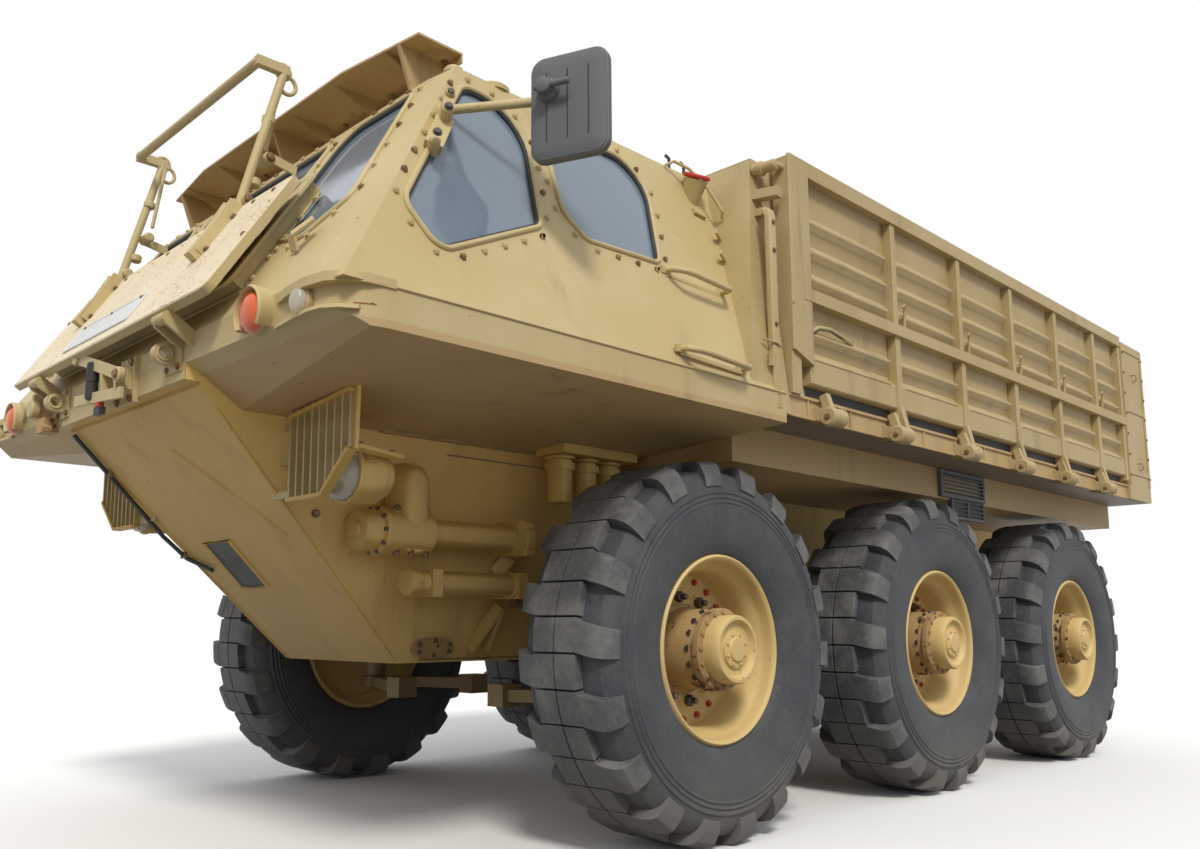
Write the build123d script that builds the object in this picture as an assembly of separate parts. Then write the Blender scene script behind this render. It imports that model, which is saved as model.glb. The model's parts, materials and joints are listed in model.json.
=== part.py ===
from build123d import *
from math import radians, sin, cos
import os

# Six-wheeled amphibious cargo truck. Millimetres, +X forward, +Y to the left, +Z up, ground at z = 0.

# ---- wheels and axles
AXLE_X = {"front": 1500.0, "second": -24.0, "rear": -1548.0}
TRACK_HALF = 1020.0  # centre line to the middle of a tyre
TYRE_R = 615.0
TYRE_WIDTH = 374.0
TREAD_WIDTH = 330.0
SHOULDER_DROP = 60.0  # how far the shoulder falls from the tread
RIM_FLANGE_R = 300.0
RIM_BARREL_R = 262.0
RIM_WALL = 16.0
RIM_HALF_WIDTH = 140.0
DISC_THICKNESS = 20.0
DISC_INSET = 20.0  # disc face, inboard of the tyre's middle
HUB_R = 130.0
HUB_INNER = 160.0  # inner end of the hub, inboard of the tyre's middle
HUB_OUTER = 196.0
HUB_CAP_R = 108.0
HUB_CAP_OUTER = 216.0
SPINDLE_R = 45.0
SPINDLE_DEPTH = 100.0
RUNNING_CLEARANCE = 0.05
WHEEL_Z = TYRE_R

# ---- knuckles and arms
PIVOT_Y = 800.0  # steering axis
PIVOT_PIN_R = 28.0
KNUCKLE_R = 52.0
KNUCKLE_HALF_HEIGHT = 150.0
STUB_R = 66.0
STUB_GAP = 6.0
ARM_THICKNESS = 44.0
ARM_EYE_R = 58.0
ARM_ROOT_SPREAD = 190.0  # half the distance between an arm's two feet
ARM_BAR = 52.0
ARM_GAP = 6.0
SHAFT_R = 36.0
SHAFT_GAP = 30.0

SPRING_END_X = 2440.0
SPRING_POST_X = 2275.0
SPRING_LOW_END_X = 2240.0
DUCT_X = (1695.0, 1572.0, 1458.0)
DUCT_Y = 620.0
DUCT_R = 44.0
DUCT_BOTTOM = 1120.0
SEAT_CLEARANCE = 0.3

# ---- watertight lower hull
HULL_TOP = 1385.0
HULL_BOTTOM = 565.0
HULL_HALF_BOTTOM = 350.0
HULL_FLARE = 0.20  # sideways per unit of height
HULL_WALL = 12.0
BOW_FOOT_X = 2195.0
BOW_SLOPE = 45.0
NOSE_X = 2985.0
NOSE_FACE_X = 3030.0  # upright face below the sloped front
NOSE_BAND_HALF = 511.0
NOSE_BAND_DROP = 19.0  # how far its middle hangs below the belt
NOSE_LIP_RISE = 0.6  # how steeply the underside climbs to the face, per unit forward
STERN_X = -2500.0
STERN_RISE_X = -2150.0
STERN_RISE = 420.0

# ---- upper works
BODY_HALF = 1308.0
BELT_BOTTOM = 1385.0
BELT_TOP = 1465.0
BELT_FRONT_RADIUS = 120.0
UNDERSIDE_DROP = 80.0
UNDERSIDE_PLATE = 20.0
HEADBOARD_X = 1300.0
CAB_ROOF_Z = 2295.0
CAB_WALL = 26.0
FLOOR_PLATE = 20.0
FRONT_LEAN = 0.65  # forward per unit of drop
FRONT_TOE_X = 3057.0  # front plane where it meets the belt's top
SIDE_LEAN = 0.362  # inward per unit of height
CORNER_TOE = (FRONT_TOE_X - 17.0, BODY_HALF, BELT_TOP - 15.0)
CORNER_TOP = (FRONT_TOE_X - 562.0, BODY_HALF - 301.0, CAB_ROOF_Z - 5.0)
CORNER_EDGE = (FRONT_TOE_X, BODY_HALF - 120.0, BELT_TOP - 15.0)
GLASS = 8.0
GLASS_INSET = 9.0

# windows as (along, height) corners: x for the sides, y for the front; radius for each corner
SIDE_FRONT_WINDOW = [
    (2318.0, 1812.0, 40.0), (2255.0, 2240.0, 150.0), (2486.0, 2225.0, 60.0),
    (2803.0, 1735.0, 55.0), (2725.0, 1615.0, 55.0),
]
SIDE_REAR_WINDOW = [
    (1790.0, 1838.0, 35.0), (1700.0, 2230.0, 130.0), (2185.0, 2230.0, 45.0),
    (2198.0, 1900.0, 60.0), (2128.0, 1825.0, 45.0),
]
FRONT_SIDE_WINDOW = [
    (540.0, 1800.0, 45.0), (525.0, 2245.0, 90.0), (872.0, 2245.0, 40.0),
    (1010.0, 1800.0, 30.0), (870.0, 1712.0, 40.0),
]
FRONT_MIDDLE_WINDOW = [
    (-440.0, 1800.0, 45.0), (-440.0, 2240.0, 45.0), (440.0, 2240.0, 45.0), (440.0, 1800.0, 45.0),
]

# ---- roof hatches
HATCH_X = (1530.0, 2130.0)
HATCH_Y = (190.0, 790.0)
HATCH_GAP = 8.0
HATCH_LIP = 30.0
HATCH_THICKNESS = 24.0
HATCH_PIN_R = 12.0
HATCH_PIN_BACK = 30.0  # pin behind the lid's edge
HATCH_EAR = 16.0  # half the width of an ear, and its height above the pin

# ---- headboard, bed and its boards
HEADBOARD_THICKNESS = 40.0
HEADBOARD_TOP = 2345.0
HEADBOARD_HALF_TOP = BODY_HALF - 118.0
SHOULDER_REACH = 183.0  # how far the shoulder runs forward at the belt
SHOULDER_HEAD = 51.0  # and at its upper end
SHOULDER_HEAD_Z = 2197.0
BED_BOTTOM = 1400.0
BED_TOP = 1480.0
BED_HALF = BODY_HALF - 23.0
BED_REAR_X = -2545.0
BOARD_BOTTOM = 1486.0
BOARD_TOP = 2344.0
BOARD_THICKNESS = 46.0
BOARD_SHEET = 6.0
BOARD_FRAME = 60.0
BOARD_FRONT_X = 1182.0
BOARD_REAR_X = -2170.0
BOARD_RIB_X = (500.0, -85.0, -645.0, -1195.0, -1745.0)
BOARD_MID_Z = 1846.0
BOARD_PIN_Y = BODY_HALF + 37.0
BOARD_PIN_Z = 1410.0
BOARD_PIN_R = 10.0
KNUCKLE_X = (1060.0, 575.0, -30.0, -595.0, -1130.0, -1690.0)
KNUCKLE_WIDTH = 60.0
KNUCKLE_BARREL_R = 20.0
PIN_CLEARANCE = 0.05
SIDE_GAP = 6.0
CORNER_POST_FRONT_X = -2180.0
CORNER_POST_WIDTH = 130.0
FRONT_POST_X = (1190.0, 1250.0)
SPONSON_HALF = 1080.0
SPONSON_BOTTOM = 1262.0
TAILGATE_THICKNESS = 46.0
TAILGATE_PIN_X = -2590.0

# ---- towing gear
PINTLE_REACH = 312.0
PINTLE_HOOK_R = 62.0
PINTLE_BORE_R = 24.0
PINTLE_Z = 1130.0
TOW_EYE_Y = 443.0
TOW_EYE_Z = 1443.0
TOW_EYE_REACH = 38.0  # bore ahead of the nose face
TOW_EYE_R = 30.0
TOW_EYE_BORE_R = 14.0
TOW_EYE_WIDTH = 28.0
REAR_LUG_Y = 380.0
REAR_LUG_REACH = 80.0
REAR_LUG_BORE_R = 22.0
REAR_LUG_WIDTH = 40.0

# ---- lamps and mirrors
SIGNAL_Y = 895.0
SIGNAL_Z = 1477.0
SIGNAL_R = 44.0
SIGNAL_PROUD = 14.0
MIRROR_X = 2350.0
MIRROR_Y = BODY_HALF + 30.0
MIRROR_Z = 2098.0
MIRROR_WIDTH = 228.0
MIRROR_HEIGHT = 302.0
MIRROR_TURN = 22.0
HEADLAMP_X = 2630.0  # face of the lens
HEADLAMP_Y = 704.0
HEADLAMP_Z = 1122.0
GUARD_AHEAD = 78.0  # slats in front of the lens
GUARD_SLATS = 9
GUARD_INNER_Y = 560.0
GUARD_OUTER_Y = 876.0
GUARD_BOTTOM = 1052.0
GUARD_CUT_Y = 742.0  # the lower outer corner is cut away from here
GUARD_CUT_SLOPE = 0.85

# ---- engine block
ENGINE_X = (-1900.0, -700.0)
ENGINE_WIDTH = 640.0
ENGINE_HEIGHT = 560.0
BEARER_HEIGHT = 70.0
BEARER_WIDTH = 80.0

# ---- trim vane and its frame
VANE_TOE = (FRONT_TOE_X + 53.0, BELT_TOP + 85.0)  # x, z of the lower edge
VANE_HALF = 770.0
VANE_LENGTH = 455.0
VANE_DEPTH = 42.0
VANE_SHEET = 8.0
VANE_HINGE_Y = (-520.0, 520.0)
VANE_HINGE_DROP = 24.0  # pin below the tray's lower edge
VANE_HINGE_SINK = 22.0  # pin behind the tray's outer face
VANE_PIN_R = 9.0
VANE_EYE_R = 17.0
SEAT_HALF = 700.0
SEAT_RAIL = 40.0
SEAT_HEIGHT = 48.0
SEAT_TOE_Z = 1590.0
SEAT_LENGTH = 420.0
FRAME_Y = 455.0
FRAME_TUBE_R = 14.0


def block(x0, x1, y0, y1, z0, z1):
    """A box between two corners."""
    size = Box(x1 - x0, y1 - y0, z1 - z0)
    return Pos((x0 + x1) / 2, (y0 + y1) / 2, (z0 + z1) / 2) * size


def rod(start, end, radius):
    """A round bar between two points."""
    a, b = Vector(*start), Vector(*end)
    axis = Plane(origin=a, z_dir=b - a)
    return axis * Cylinder(radius, (b - a).length, align=(Align.CENTER, Align.CENTER, Align.MIN))


def ring(start, end, radius, bore):
    """A round bar with a bore along it."""
    return rod(start, end, radius) - rod(start, end, bore)


def bar(start, end, width, depth, up=(0, 0, 1)):
    """A rectangular bar between two points, its depth along up."""
    a, b = Vector(*start), Vector(*end)
    along = b - a
    side = along.cross(Vector(*up)).normalized()
    return Plane(origin=(a + b) * 0.5, x_dir=side, z_dir=along) * Box(width, depth, along.length)


def mirrored(shape):
    """The same shape on the other side of the vehicle."""
    return mirror(shape, about=Plane.XZ)


def below(shape, point, normal):
    """What lies behind a plane."""
    return split(shape, bisect_by=Plane(origin=point, z_dir=normal), keep=Keep.BOTTOM)


def moved_in(point, normal, depth):
    """A point moved against a normal by a depth."""
    return Vector(*point) - Vector(*normal).normalized() * depth


def prism(section, x0, x1):
    """A (y, z) outline along X."""
    face = make_face(Polyline(*[(y, z) for y, z in section], close=True))
    plane = Plane(origin=(x0, 0, 0), x_dir=(0, 1, 0), z_dir=(1, 0, 0))
    return extrude(plane * face, amount=x1 - x0)


def side_prism(section, y0, y1):
    """An (x, z) outline along Y."""
    face = make_face(Polyline(*[(x, z) for x, z in section], close=True))
    plane = Plane(origin=(0, y1, 0), x_dir=(1, 0, 0), z_dir=(0, -1, 0))
    return extrude(plane * face, amount=y1 - y0)


def rounded(corners):
    """A flat outline whose corners each have their own radius."""
    outline = make_face(Polyline(*[(u, v) for u, v, _ in corners], close=True))
    for u, v, radius in corners:
        nearest = outline.vertices().sort_by_distance((u, v, 0))[0]
        outline = fillet(nearest, radius)
    return outline


# ---- planes of the cab
FRONT_POINT = (FRONT_TOE_X, 0.0, BELT_TOP - 15.0)
FRONT_NORMAL = (1.0, 0.0, FRONT_LEAN)
SIDE_POINT = (0.0, BODY_HALF, BELT_TOP - 5.0)
SIDE_NORMAL = (0.0, 1.0, SIDE_LEAN)


def corner_normal():
    """Outward normal of the narrow facet between windscreen and side."""
    toe, top, edge = Vector(*CORNER_TOE), Vector(*CORNER_TOP), Vector(*CORNER_EDGE)
    normal = (top - toe).cross(edge - toe)
    if normal.X < 0:
        normal = normal * -1
    return tuple(normal)


def across(vector):
    """A point or direction on the other side."""
    return (vector[0], -vector[1], vector[2])


def cab_core(depth, top, bottom=BELT_TOP):
    """The cab above its belt as a solid, each wall moved in by a depth."""
    corner = corner_normal()
    core = block(HEADBOARD_X + depth, FRONT_TOE_X + 300, -BODY_HALF, BODY_HALF, bottom, top)
    core = below(core, moved_in(FRONT_POINT, FRONT_NORMAL, depth), FRONT_NORMAL)
    core = below(core, (NOSE_FACE_X, 0, 0), (1, 0, 0))
    for point, normal in ((SIDE_POINT, SIDE_NORMAL), (CORNER_TOE, corner)):
        core = below(core, moved_in(point, normal, depth), normal)
        core = below(core, moved_in(across(point), across(normal), depth), across(normal))
    return core


def window_prisms():
    """Cutters for the side windows and the windscreens of both sides."""
    side_plane = Plane(origin=(0, BODY_HALF + 200, 0), x_dir=(1, 0, 0), z_dir=(0, -1, 0))
    front_plane = Plane(origin=(FRONT_TOE_X + 200, 0, 0), x_dir=(0, 1, 0), z_dir=(1, 0, 0))
    sides = []
    for corners in (SIDE_FRONT_WINDOW, SIDE_REAR_WINDOW):
        sides.append(extrude(side_plane * rounded(corners), amount=BODY_HALF))
    pane = extrude(front_plane * rounded(FRONT_SIDE_WINDOW), amount=-1000)
    middle = extrude(front_plane * rounded(FRONT_MIDDLE_WINDOW), amount=-1000)
    return sides, [pane, mirrored(pane), middle]


def cab():
    """Cab walls, roof, floor, belt, bulkhead and glass."""
    outer = cab_core(0, CAB_ROOF_Z)
    inner = cab_core(CAB_WALL, CAB_ROOF_Z - CAB_WALL)
    sides, fronts = window_prisms()
    shell = outer - inner
    roof_underside = (0, 0, CAB_ROOF_Z - CAB_WALL)
    roof = below(shell, roof_underside, (0, 0, -1))
    walls = below(shell, roof_underside, (0, 0, 1))
    front_inner = moved_in(FRONT_POINT, FRONT_NORMAL, CAB_WALL)
    corner = corner_normal()
    corner_inner = moved_in(CORNER_TOE, corner, CAB_WALL)
    rear_face = (HEADBOARD_X + CAB_WALL, 0, 0)
    behind = below(walls, front_inner, FRONT_NORMAL)
    front = below(walls, front_inner, (-1.0, 0.0, -FRONT_LEAN))
    facet = below(behind, corner_inner, tuple(-c for c in corner))
    facet_right = mirrored(facet)
    front = front + facet + facet_right
    rest = below(behind, corner_inner, corner)
    rest = below(rest, across(tuple(corner_inner)), across(corner))
    bulkhead = below(rest, rear_face, (1, 0, 0))
    flanks = below(rest, rear_face, (-1, 0, 0))
    left = below(flanks, (0, 0, 0), (0, -1, 0))
    for cutter in sides:
        left -= cutter
    glazed = front
    for cutter in fronts:
        glazed -= cutter
    panes = []
    sheet_outer = cab_core(GLASS_INSET, CAB_ROOF_Z)
    sheet = sheet_outer - cab_core(GLASS_INSET + GLASS, CAB_ROOF_Z)
    for cutter in sides:
        pane = sheet & cutter
        panes += [pane, mirrored(pane)]
    front_sheet = below(sheet_outer, moved_in(FRONT_POINT, FRONT_NORMAL, GLASS_INSET + GLASS),
                        (-1.0, 0.0, -FRONT_LEAN))
    for cutter in fronts:
        panes.append(front_sheet & cutter)
    for side in (1, -1):
        low, high = sorted((side * HATCH_Y[0], side * HATCH_Y[1]))
        roof -= block(*HATCH_X, low, high, CAB_ROOF_Z - 200, CAB_ROOF_Z + 200)
    return {
        "cab_roof": roof,
        "cab_front": glazed,
        "cab_side_left": left,
        "cab_side_right": mirrored(left),
        "cab_bulkhead": bulkhead,
        "cab_glass": Compound([solid for pane in panes for solid in pane.solids()]),
    }


def belt_core(depth, low=BELT_BOTTOM, high=BELT_TOP):
    """The body between floor and belt line as a solid, its walls moved in by a depth."""
    half, face = BODY_HALF - depth, NOSE_FACE_X - depth
    core = block(HEADBOARD_X, face, -half, half, low, high)
    corners = core.edges().filter_by(Axis.Z).sort_by(Axis.X)[-2:]
    core = fillet(corners, BELT_FRONT_RADIUS - depth)
    return below(core, (NOSE_X, 0, BELT_BOTTOM), (NOSE_LIP_RISE, 0, -1.0))


def belt():
    """The vertical belt round the cab and the floor inside it."""
    floor_top = (0, 0, BELT_BOTTOM + FLOOR_PLATE)
    outer = belt_core(0)
    floor = below(outer, floor_top, (0, 0, 1))
    band = below(outer, floor_top, (0, 0, -1)) - belt_core(CAB_WALL)
    return {"cab_floor": floor, "cab_belt": band}


def hull_half(z):
    """Half width of the lower hull's outside at a height."""
    return HULL_HALF_BOTTOM + HULL_FLARE * (z - HULL_BOTTOM)


def wing_underside(y):
    """Height of the underside wing at a distance from the centre plane."""
    low = HULL_TOP - UNDERSIDE_DROP
    rise = (UNDERSIDE_DROP - UNDERSIDE_PLATE) / (BODY_HALF - hull_half(low))
    return low + (y - hull_half(low)) * rise


def hull_core(depth):
    """The lower hull as a solid, each plate moved in by a depth."""
    core = block(STERN_X + depth, NOSE_X + 200, -900, 900, HULL_BOTTOM + depth, HULL_TOP)
    bow = (sin(radians(BOW_SLOPE)), 0.0, -cos(radians(BOW_SLOPE)))
    core = below(core, moved_in((BOW_FOOT_X, 0, HULL_BOTTOM), bow, depth), bow)
    core = below(core, (NOSE_X - depth, 0, 0), (1, 0, 0))
    stern = (-STERN_RISE, 0.0, -(STERN_RISE_X - STERN_X))
    core = below(core, moved_in((STERN_RISE_X, 0, HULL_BOTTOM), stern, depth), stern)
    side_normal = (0.0, 1.0, -HULL_FLARE)
    point = moved_in((0, HULL_HALF_BOTTOM, HULL_BOTTOM), side_normal, depth)
    core = below(core, point, side_normal)
    return below(core, across(tuple(point)), across(side_normal))


def hull():
    """Lower hull, the underside wings of the cab and the sponsons under the bed."""
    tub = hull_core(0) - hull_core(HULL_WALL)
    bearer_z = HULL_BOTTOM + HULL_WALL
    for x in (ENGINE_X[0] + 150, ENGINE_X[1] - 150):
        bearer = block(x - BEARER_WIDTH / 2, x + BEARER_WIDTH / 2, -HULL_HALF_BOTTOM, HULL_HALF_BOTTOM,
                       bearer_z, bearer_z + BEARER_HEIGHT)
        tub += bearer & hull_core(0)
    band = block(NOSE_X - 20, NOSE_FACE_X, -NOSE_BAND_HALF, NOSE_BAND_HALF, BELT_BOTTOM - NOSE_BAND_DROP, BELT_TOP)
    tub += band - belt_core(0) - hull_core(0)
    inner_low = hull_half(HULL_TOP - UNDERSIDE_DROP)
    inner_high = hull_half(HULL_TOP)
    section = [
        (inner_low, HULL_TOP - UNDERSIDE_DROP), (BODY_HALF, HULL_TOP - UNDERSIDE_PLATE),
        (BODY_HALF, HULL_TOP), (inner_high, HULL_TOP),
    ]
    wing = prism(section, HEADBOARD_X, NOSE_FACE_X)
    wing = wing & belt_core(0, HULL_TOP - UNDERSIDE_DROP, HULL_TOP)
    sponson = [
        (hull_half(SPONSON_BOTTOM), SPONSON_BOTTOM), (SPONSON_HALF, SPONSON_BOTTOM),
        (SPONSON_HALF, BED_BOTTOM), (hull_half(HULL_TOP), BED_BOTTOM), (inner_high, HULL_TOP),
    ]
    long_box = prism(sponson, STERN_X, HEADBOARD_X)
    pieces = []
    for shape in (wing, long_box):
        pieces += shape.solids() + mirrored(shape).solids()
    return {"hull_tub": tub, "hull_sponsons": Compound(pieces)}


def tyre(x, y):
    """A closed tyre on its rim, plain tread."""
    half, tread = TYRE_WIDTH / 2, TREAD_WIDTH / 2
    bead = RIM_HALF_WIDTH - RIM_WALL
    shoulder = TYRE_R - SHOULDER_DROP
    with BuildSketch(Plane.XY) as section:
        with BuildLine():
            Polyline((RIM_BARREL_R, -bead), (RIM_FLANGE_R, -bead))
            ThreePointArc((RIM_FLANGE_R, -bead), ((RIM_FLANGE_R + shoulder) / 2, -half), (shoulder, -tread))
            Polyline((shoulder, -tread), (TYRE_R, -tread + 25), (TYRE_R, tread - 25), (shoulder, tread))
            ThreePointArc((shoulder, tread), ((RIM_FLANGE_R + shoulder) / 2, half), (RIM_FLANGE_R, bead))
            Polyline((RIM_FLANGE_R, bead), (RIM_BARREL_R, bead), (RIM_BARREL_R, -bead))
        make_face()
    return Pos(x, y, WHEEL_Z) * revolve(section.sketch, axis=Axis.Y)


def turned(points):
    """A ring from (radius, along Y) corners."""
    face = make_face(Polyline(*points, close=True))
    return revolve(face, axis=Axis.Y)


def rim(x, y):
    """Rim, disc, hub barrel and cap, its outer face towards +Y for a left wheel."""
    inner = RIM_BARREL_R - RIM_WALL
    side = RIM_HALF_WIDTH
    barrel = turned([
        (inner, -side), (RIM_FLANGE_R, -side), (RIM_FLANGE_R, -side + RIM_WALL),
        (RIM_BARREL_R, -side + RIM_WALL), (RIM_BARREL_R, side - RIM_WALL),
        (RIM_FLANGE_R, side - RIM_WALL), (RIM_FLANGE_R, side), (inner, side),
    ])
    disc = turned([
        (HUB_R - 5, -DISC_INSET - DISC_THICKNESS), (inner + 2, -DISC_INSET - DISC_THICKNESS),
        (inner + 2, -DISC_INSET), (HUB_R - 5, -DISC_INSET),
    ])
    bore = SPINDLE_R + RUNNING_CLEARANCE
    hub = turned([
        (bore, -HUB_INNER), (HUB_R, -HUB_INNER), (HUB_R, HUB_OUTER), (HUB_CAP_R, HUB_OUTER),
        (HUB_CAP_R, HUB_CAP_OUTER), (0, HUB_CAP_OUTER), (0, -HUB_INNER + SPINDLE_DEPTH + 10),
        (bore, -HUB_INNER + SPINDLE_DEPTH + 10),
    ])
    wheel = barrel + disc + hub
    if y < 0:
        wheel = mirrored(wheel)
    return Pos(x, y, WHEEL_Z) * wheel


def knuckle(x):
    """Left swivel housing with its pivot pins and the spindle in the hub."""
    pin_half = KNUCKLE_HALF_HEIGHT + ARM_GAP + ARM_THICKNESS + 8
    post = rod((x, PIVOT_Y, WHEEL_Z - KNUCKLE_HALF_HEIGHT), (x, PIVOT_Y, WHEEL_Z + KNUCKLE_HALF_HEIGHT), KNUCKLE_R)
    pin = rod((x, PIVOT_Y, WHEEL_Z - pin_half), (x, PIVOT_Y, WHEEL_Z + pin_half), PIVOT_PIN_R)
    hub_face = TRACK_HALF - HUB_INNER
    stub = rod((x, PIVOT_Y - STUB_R, WHEEL_Z), (x, hub_face - STUB_GAP, WHEEL_Z), STUB_R)
    spindle = rod((x, PIVOT_Y, WHEEL_Z), (x, hub_face + SPINDLE_DEPTH, WHEEL_Z), SPINDLE_R)
    return post + pin + stub + spindle


def wishbone(x, z):
    """A left arm from two feet on the hull to its eye round the pivot pin."""
    root_y = hull_half(z) + 14
    eye = rod((x, PIVOT_Y, z - ARM_THICKNESS / 2), (x, PIVOT_Y, z + ARM_THICKNESS / 2), ARM_EYE_R)
    arm = eye
    for sign in (1, -1):
        foot = (x + sign * ARM_ROOT_SPREAD, root_y, z)
        arm += bar(foot, (x + sign * 12, PIVOT_Y - 20, z), ARM_BAR, ARM_THICKNESS)
        arm += block(foot[0] - 45, foot[0] + 45, root_y - 60, root_y + 24, z - 40, z + 40)
    bore = PIVOT_PIN_R + PIN_CLEARANCE
    arm -= rod((x, PIVOT_Y, z - 100), (x, PIVOT_Y, z + 100), bore)
    return arm - hull_core(0)


def running_gear():
    """Wheels, knuckles, arms, shafts and the tubes of the springing."""
    nodes = {}
    arms = []
    arm_offset = KNUCKLE_HALF_HEIGHT + ARM_GAP + ARM_THICKNESS / 2
    for axle, x in AXLE_X.items():
        for name, sign in (("left", 1), ("right", -1)):
            nodes[f"tyre_{axle}_{name}"] = tyre(x, sign * TRACK_HALF)
            nodes[f"rim_{axle}_{name}"] = rim(x, sign * TRACK_HALF)
            carrier = knuckle(x)
            parts = [wishbone(x, WHEEL_Z + arm_offset), wishbone(x, WHEEL_Z - arm_offset)]
            shaft_root = hull_half(WHEEL_Z) - 30
            shaft = rod((x, shaft_root, WHEEL_Z), (x, PIVOT_Y - STUB_R - SHAFT_GAP, WHEEL_Z), SHAFT_R)
            boss = rod((x, shaft_root, WHEEL_Z), (x, hull_half(WHEEL_Z) + 60, WHEEL_Z), 2.2 * SHAFT_R)
            parts.append((shaft + boss) - hull_core(0))
            if sign < 0:
                carrier = mirrored(carrier)
                parts = [mirrored(p) for p in parts]
            nodes[f"knuckle_{axle}_{name}"] = carrier
            arms += [solid for p in parts for solid in p.solids()]
    rear = nodes.pop("knuckle_rear_left"), nodes.pop("knuckle_rear_right")
    nodes["rear_hub_carriers"] = Compound([s for c in rear for s in c.solids()])
    nodes["suspension_arms"] = Compound(arms)
    return nodes


def spring_tubes():
    """Longitudinal tubes and the upright cylinder ahead of the front wheels."""
    y = hull_half(980) + 75
    upper = rod((SPRING_END_X, y, 990), (1810, y, 990), 45)
    upper += rod((SPRING_POST_X, y - 60, 990), (SPRING_POST_X, y + 48, 990), 70)
    upper += rod((SPRING_POST_X, y, 990), (SPRING_POST_X, y, 1170), 60)
    upper += rod((SPRING_POST_X, y, 1170), (SPRING_POST_X, y, 1205), 38)
    upper += block(1800, 1840, y - 90, y + 55, 930, 1050)
    lower = rod((SPRING_LOW_END_X, y, 830), (1780, y, 830), 38)
    lower += block(1790, 1830, y - 110, y + 48, 782, 870)
    lower += block(SPRING_LOW_END_X - 80, SPRING_LOW_END_X - 40, y - 110, y + 48, 782, 870)
    left = [upper - hull_core(0), lower - hull_core(0)]
    top = wing_underside(DUCT_Y - DUCT_R) - SEAT_CLEARANCE
    for x in DUCT_X:
        duct = rod((x, DUCT_Y, DUCT_BOTTOM), (x, DUCT_Y, top), DUCT_R)
        collar = rod((x, DUCT_Y, top - 76), (x, DUCT_Y, top - 49), DUCT_R + 10)
        left.append(duct + collar)
    solids = [s for shape in left for s in shape.solids()]
    solids += [s for shape in left for s in mirrored(shape).solids()]
    return {"suspension_tubes": Compound(solids)}


def hatch(sign):
    """A roof lid on its coaming line, with the hinge pin at its rear edge."""
    low, high = sorted((sign * HATCH_Y[0], sign * HATCH_Y[1]))
    top = CAB_ROOF_Z + HATCH_GAP
    lid = block(HATCH_X[0] - HATCH_LIP, HATCH_X[1] + HATCH_LIP, low - HATCH_LIP, high + HATCH_LIP,
                top, top + HATCH_THICKNESS)
    pin_z = top + HATCH_THICKNESS
    middle = (low + high) / 2
    pin_x = HATCH_X[0] - HATCH_LIP - HATCH_PIN_BACK
    for y in (middle - 200, middle + 200):
        lid += block(pin_x, HATCH_X[0], y - 30, y + 30, top + 4, top + HATCH_THICKNESS)
        lid += rod((pin_x, y - 52, pin_z - HATCH_PIN_R), (pin_x, y + 52, pin_z - HATCH_PIN_R), HATCH_PIN_R)
    return lid


def hatch_brackets():
    """Hinge ears of the lids, on the roof."""
    top = CAB_ROOF_Z
    pin_x = HATCH_X[0] - HATCH_LIP - HATCH_PIN_BACK
    pin_z = top + HATCH_GAP + HATCH_THICKNESS - HATCH_PIN_R
    middle = (HATCH_Y[0] + HATCH_Y[1]) / 2
    ears = []
    for sign in (1, -1):
        for y in (sign * middle - 200, sign * middle + 200):
            for edge in (y - 52, y + 36):
                ear = block(pin_x - HATCH_EAR, pin_x + HATCH_EAR, edge, edge + 16, top, pin_z + HATCH_EAR)
                ear -= rod((pin_x, edge - 1, pin_z), (pin_x, edge + 17, pin_z), HATCH_PIN_R + PIN_CLEARANCE)
                ears.append(ear)
    return ears


def board_panel(length):
    """A ribbed board standing on z = 0, its inner face at y = 0, outer towards +Y, length along X."""
    height = BOARD_TOP - BOARD_BOTTOM
    depth = BOARD_THICKNESS
    panel = block(-length / 2, length / 2, 0, BOARD_SHEET, 0, height)
    rails = [(0, BOARD_FRAME), (height - BOARD_FRAME, height)]
    mid = BOARD_MID_Z - BOARD_BOTTOM
    rails.append((mid - 22, mid + 22))
    for low, high in rails:
        panel += block(-length / 2, length / 2, 0, depth, low, high)
    for end in (-length / 2, length / 2 - BOARD_FRAME / 2):
        panel += block(end, end + BOARD_FRAME / 2, 0, depth, 0, height)
    return panel


def drop_side(sign):
    """A side board with its ribs, folds and hinge arms."""
    length = BOARD_FRONT_X - BOARD_REAR_X
    centre = (BOARD_FRONT_X + BOARD_REAR_X) / 2
    inner = BODY_HALF - BOARD_THICKNESS
    panel = Pos(centre, inner, BOARD_BOTTOM) * board_panel(length)
    for x in BOARD_RIB_X:
        panel += block(x - 19, x + 19, inner, BODY_HALF, BOARD_BOTTOM, BOARD_TOP)
    for low, high in ((BOARD_MID_Z + 22, BOARD_TOP - BOARD_FRAME), (BOARD_BOTTOM + 150, BOARD_MID_Z - 22)):
        count = 3 if high > BOARD_MID_Z else 2
        pitch = (high - low) / count
        for k in range(count):
            z = low + pitch * (k + 0.5)
            fold = block(BOARD_REAR_X, BOARD_FRONT_X, inner, inner + 28, z - pitch * 0.22, z + pitch * 0.22)
            panel += fold
    for x in KNUCKLE_X:
        half = KNUCKLE_WIDTH / 2
        arm = bar((x, BOARD_PIN_Y, BOARD_PIN_Z), (x, BODY_HALF - 8, BOARD_BOTTOM + 30), KNUCKLE_WIDTH - 2 * 16,
                  20, up=(0, 1, 0))
        eye = rod((x - half + 16, BOARD_PIN_Y, BOARD_PIN_Z), (x + half - 16, BOARD_PIN_Y, BOARD_PIN_Z),
                  KNUCKLE_BARREL_R)
        bore = rod((x - half, BOARD_PIN_Y, BOARD_PIN_Z), (x + half, BOARD_PIN_Y, BOARD_PIN_Z),
                   BOARD_PIN_R + PIN_CLEARANCE)
        panel += (arm + eye) - bore
    return panel if sign > 0 else mirrored(panel)


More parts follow.
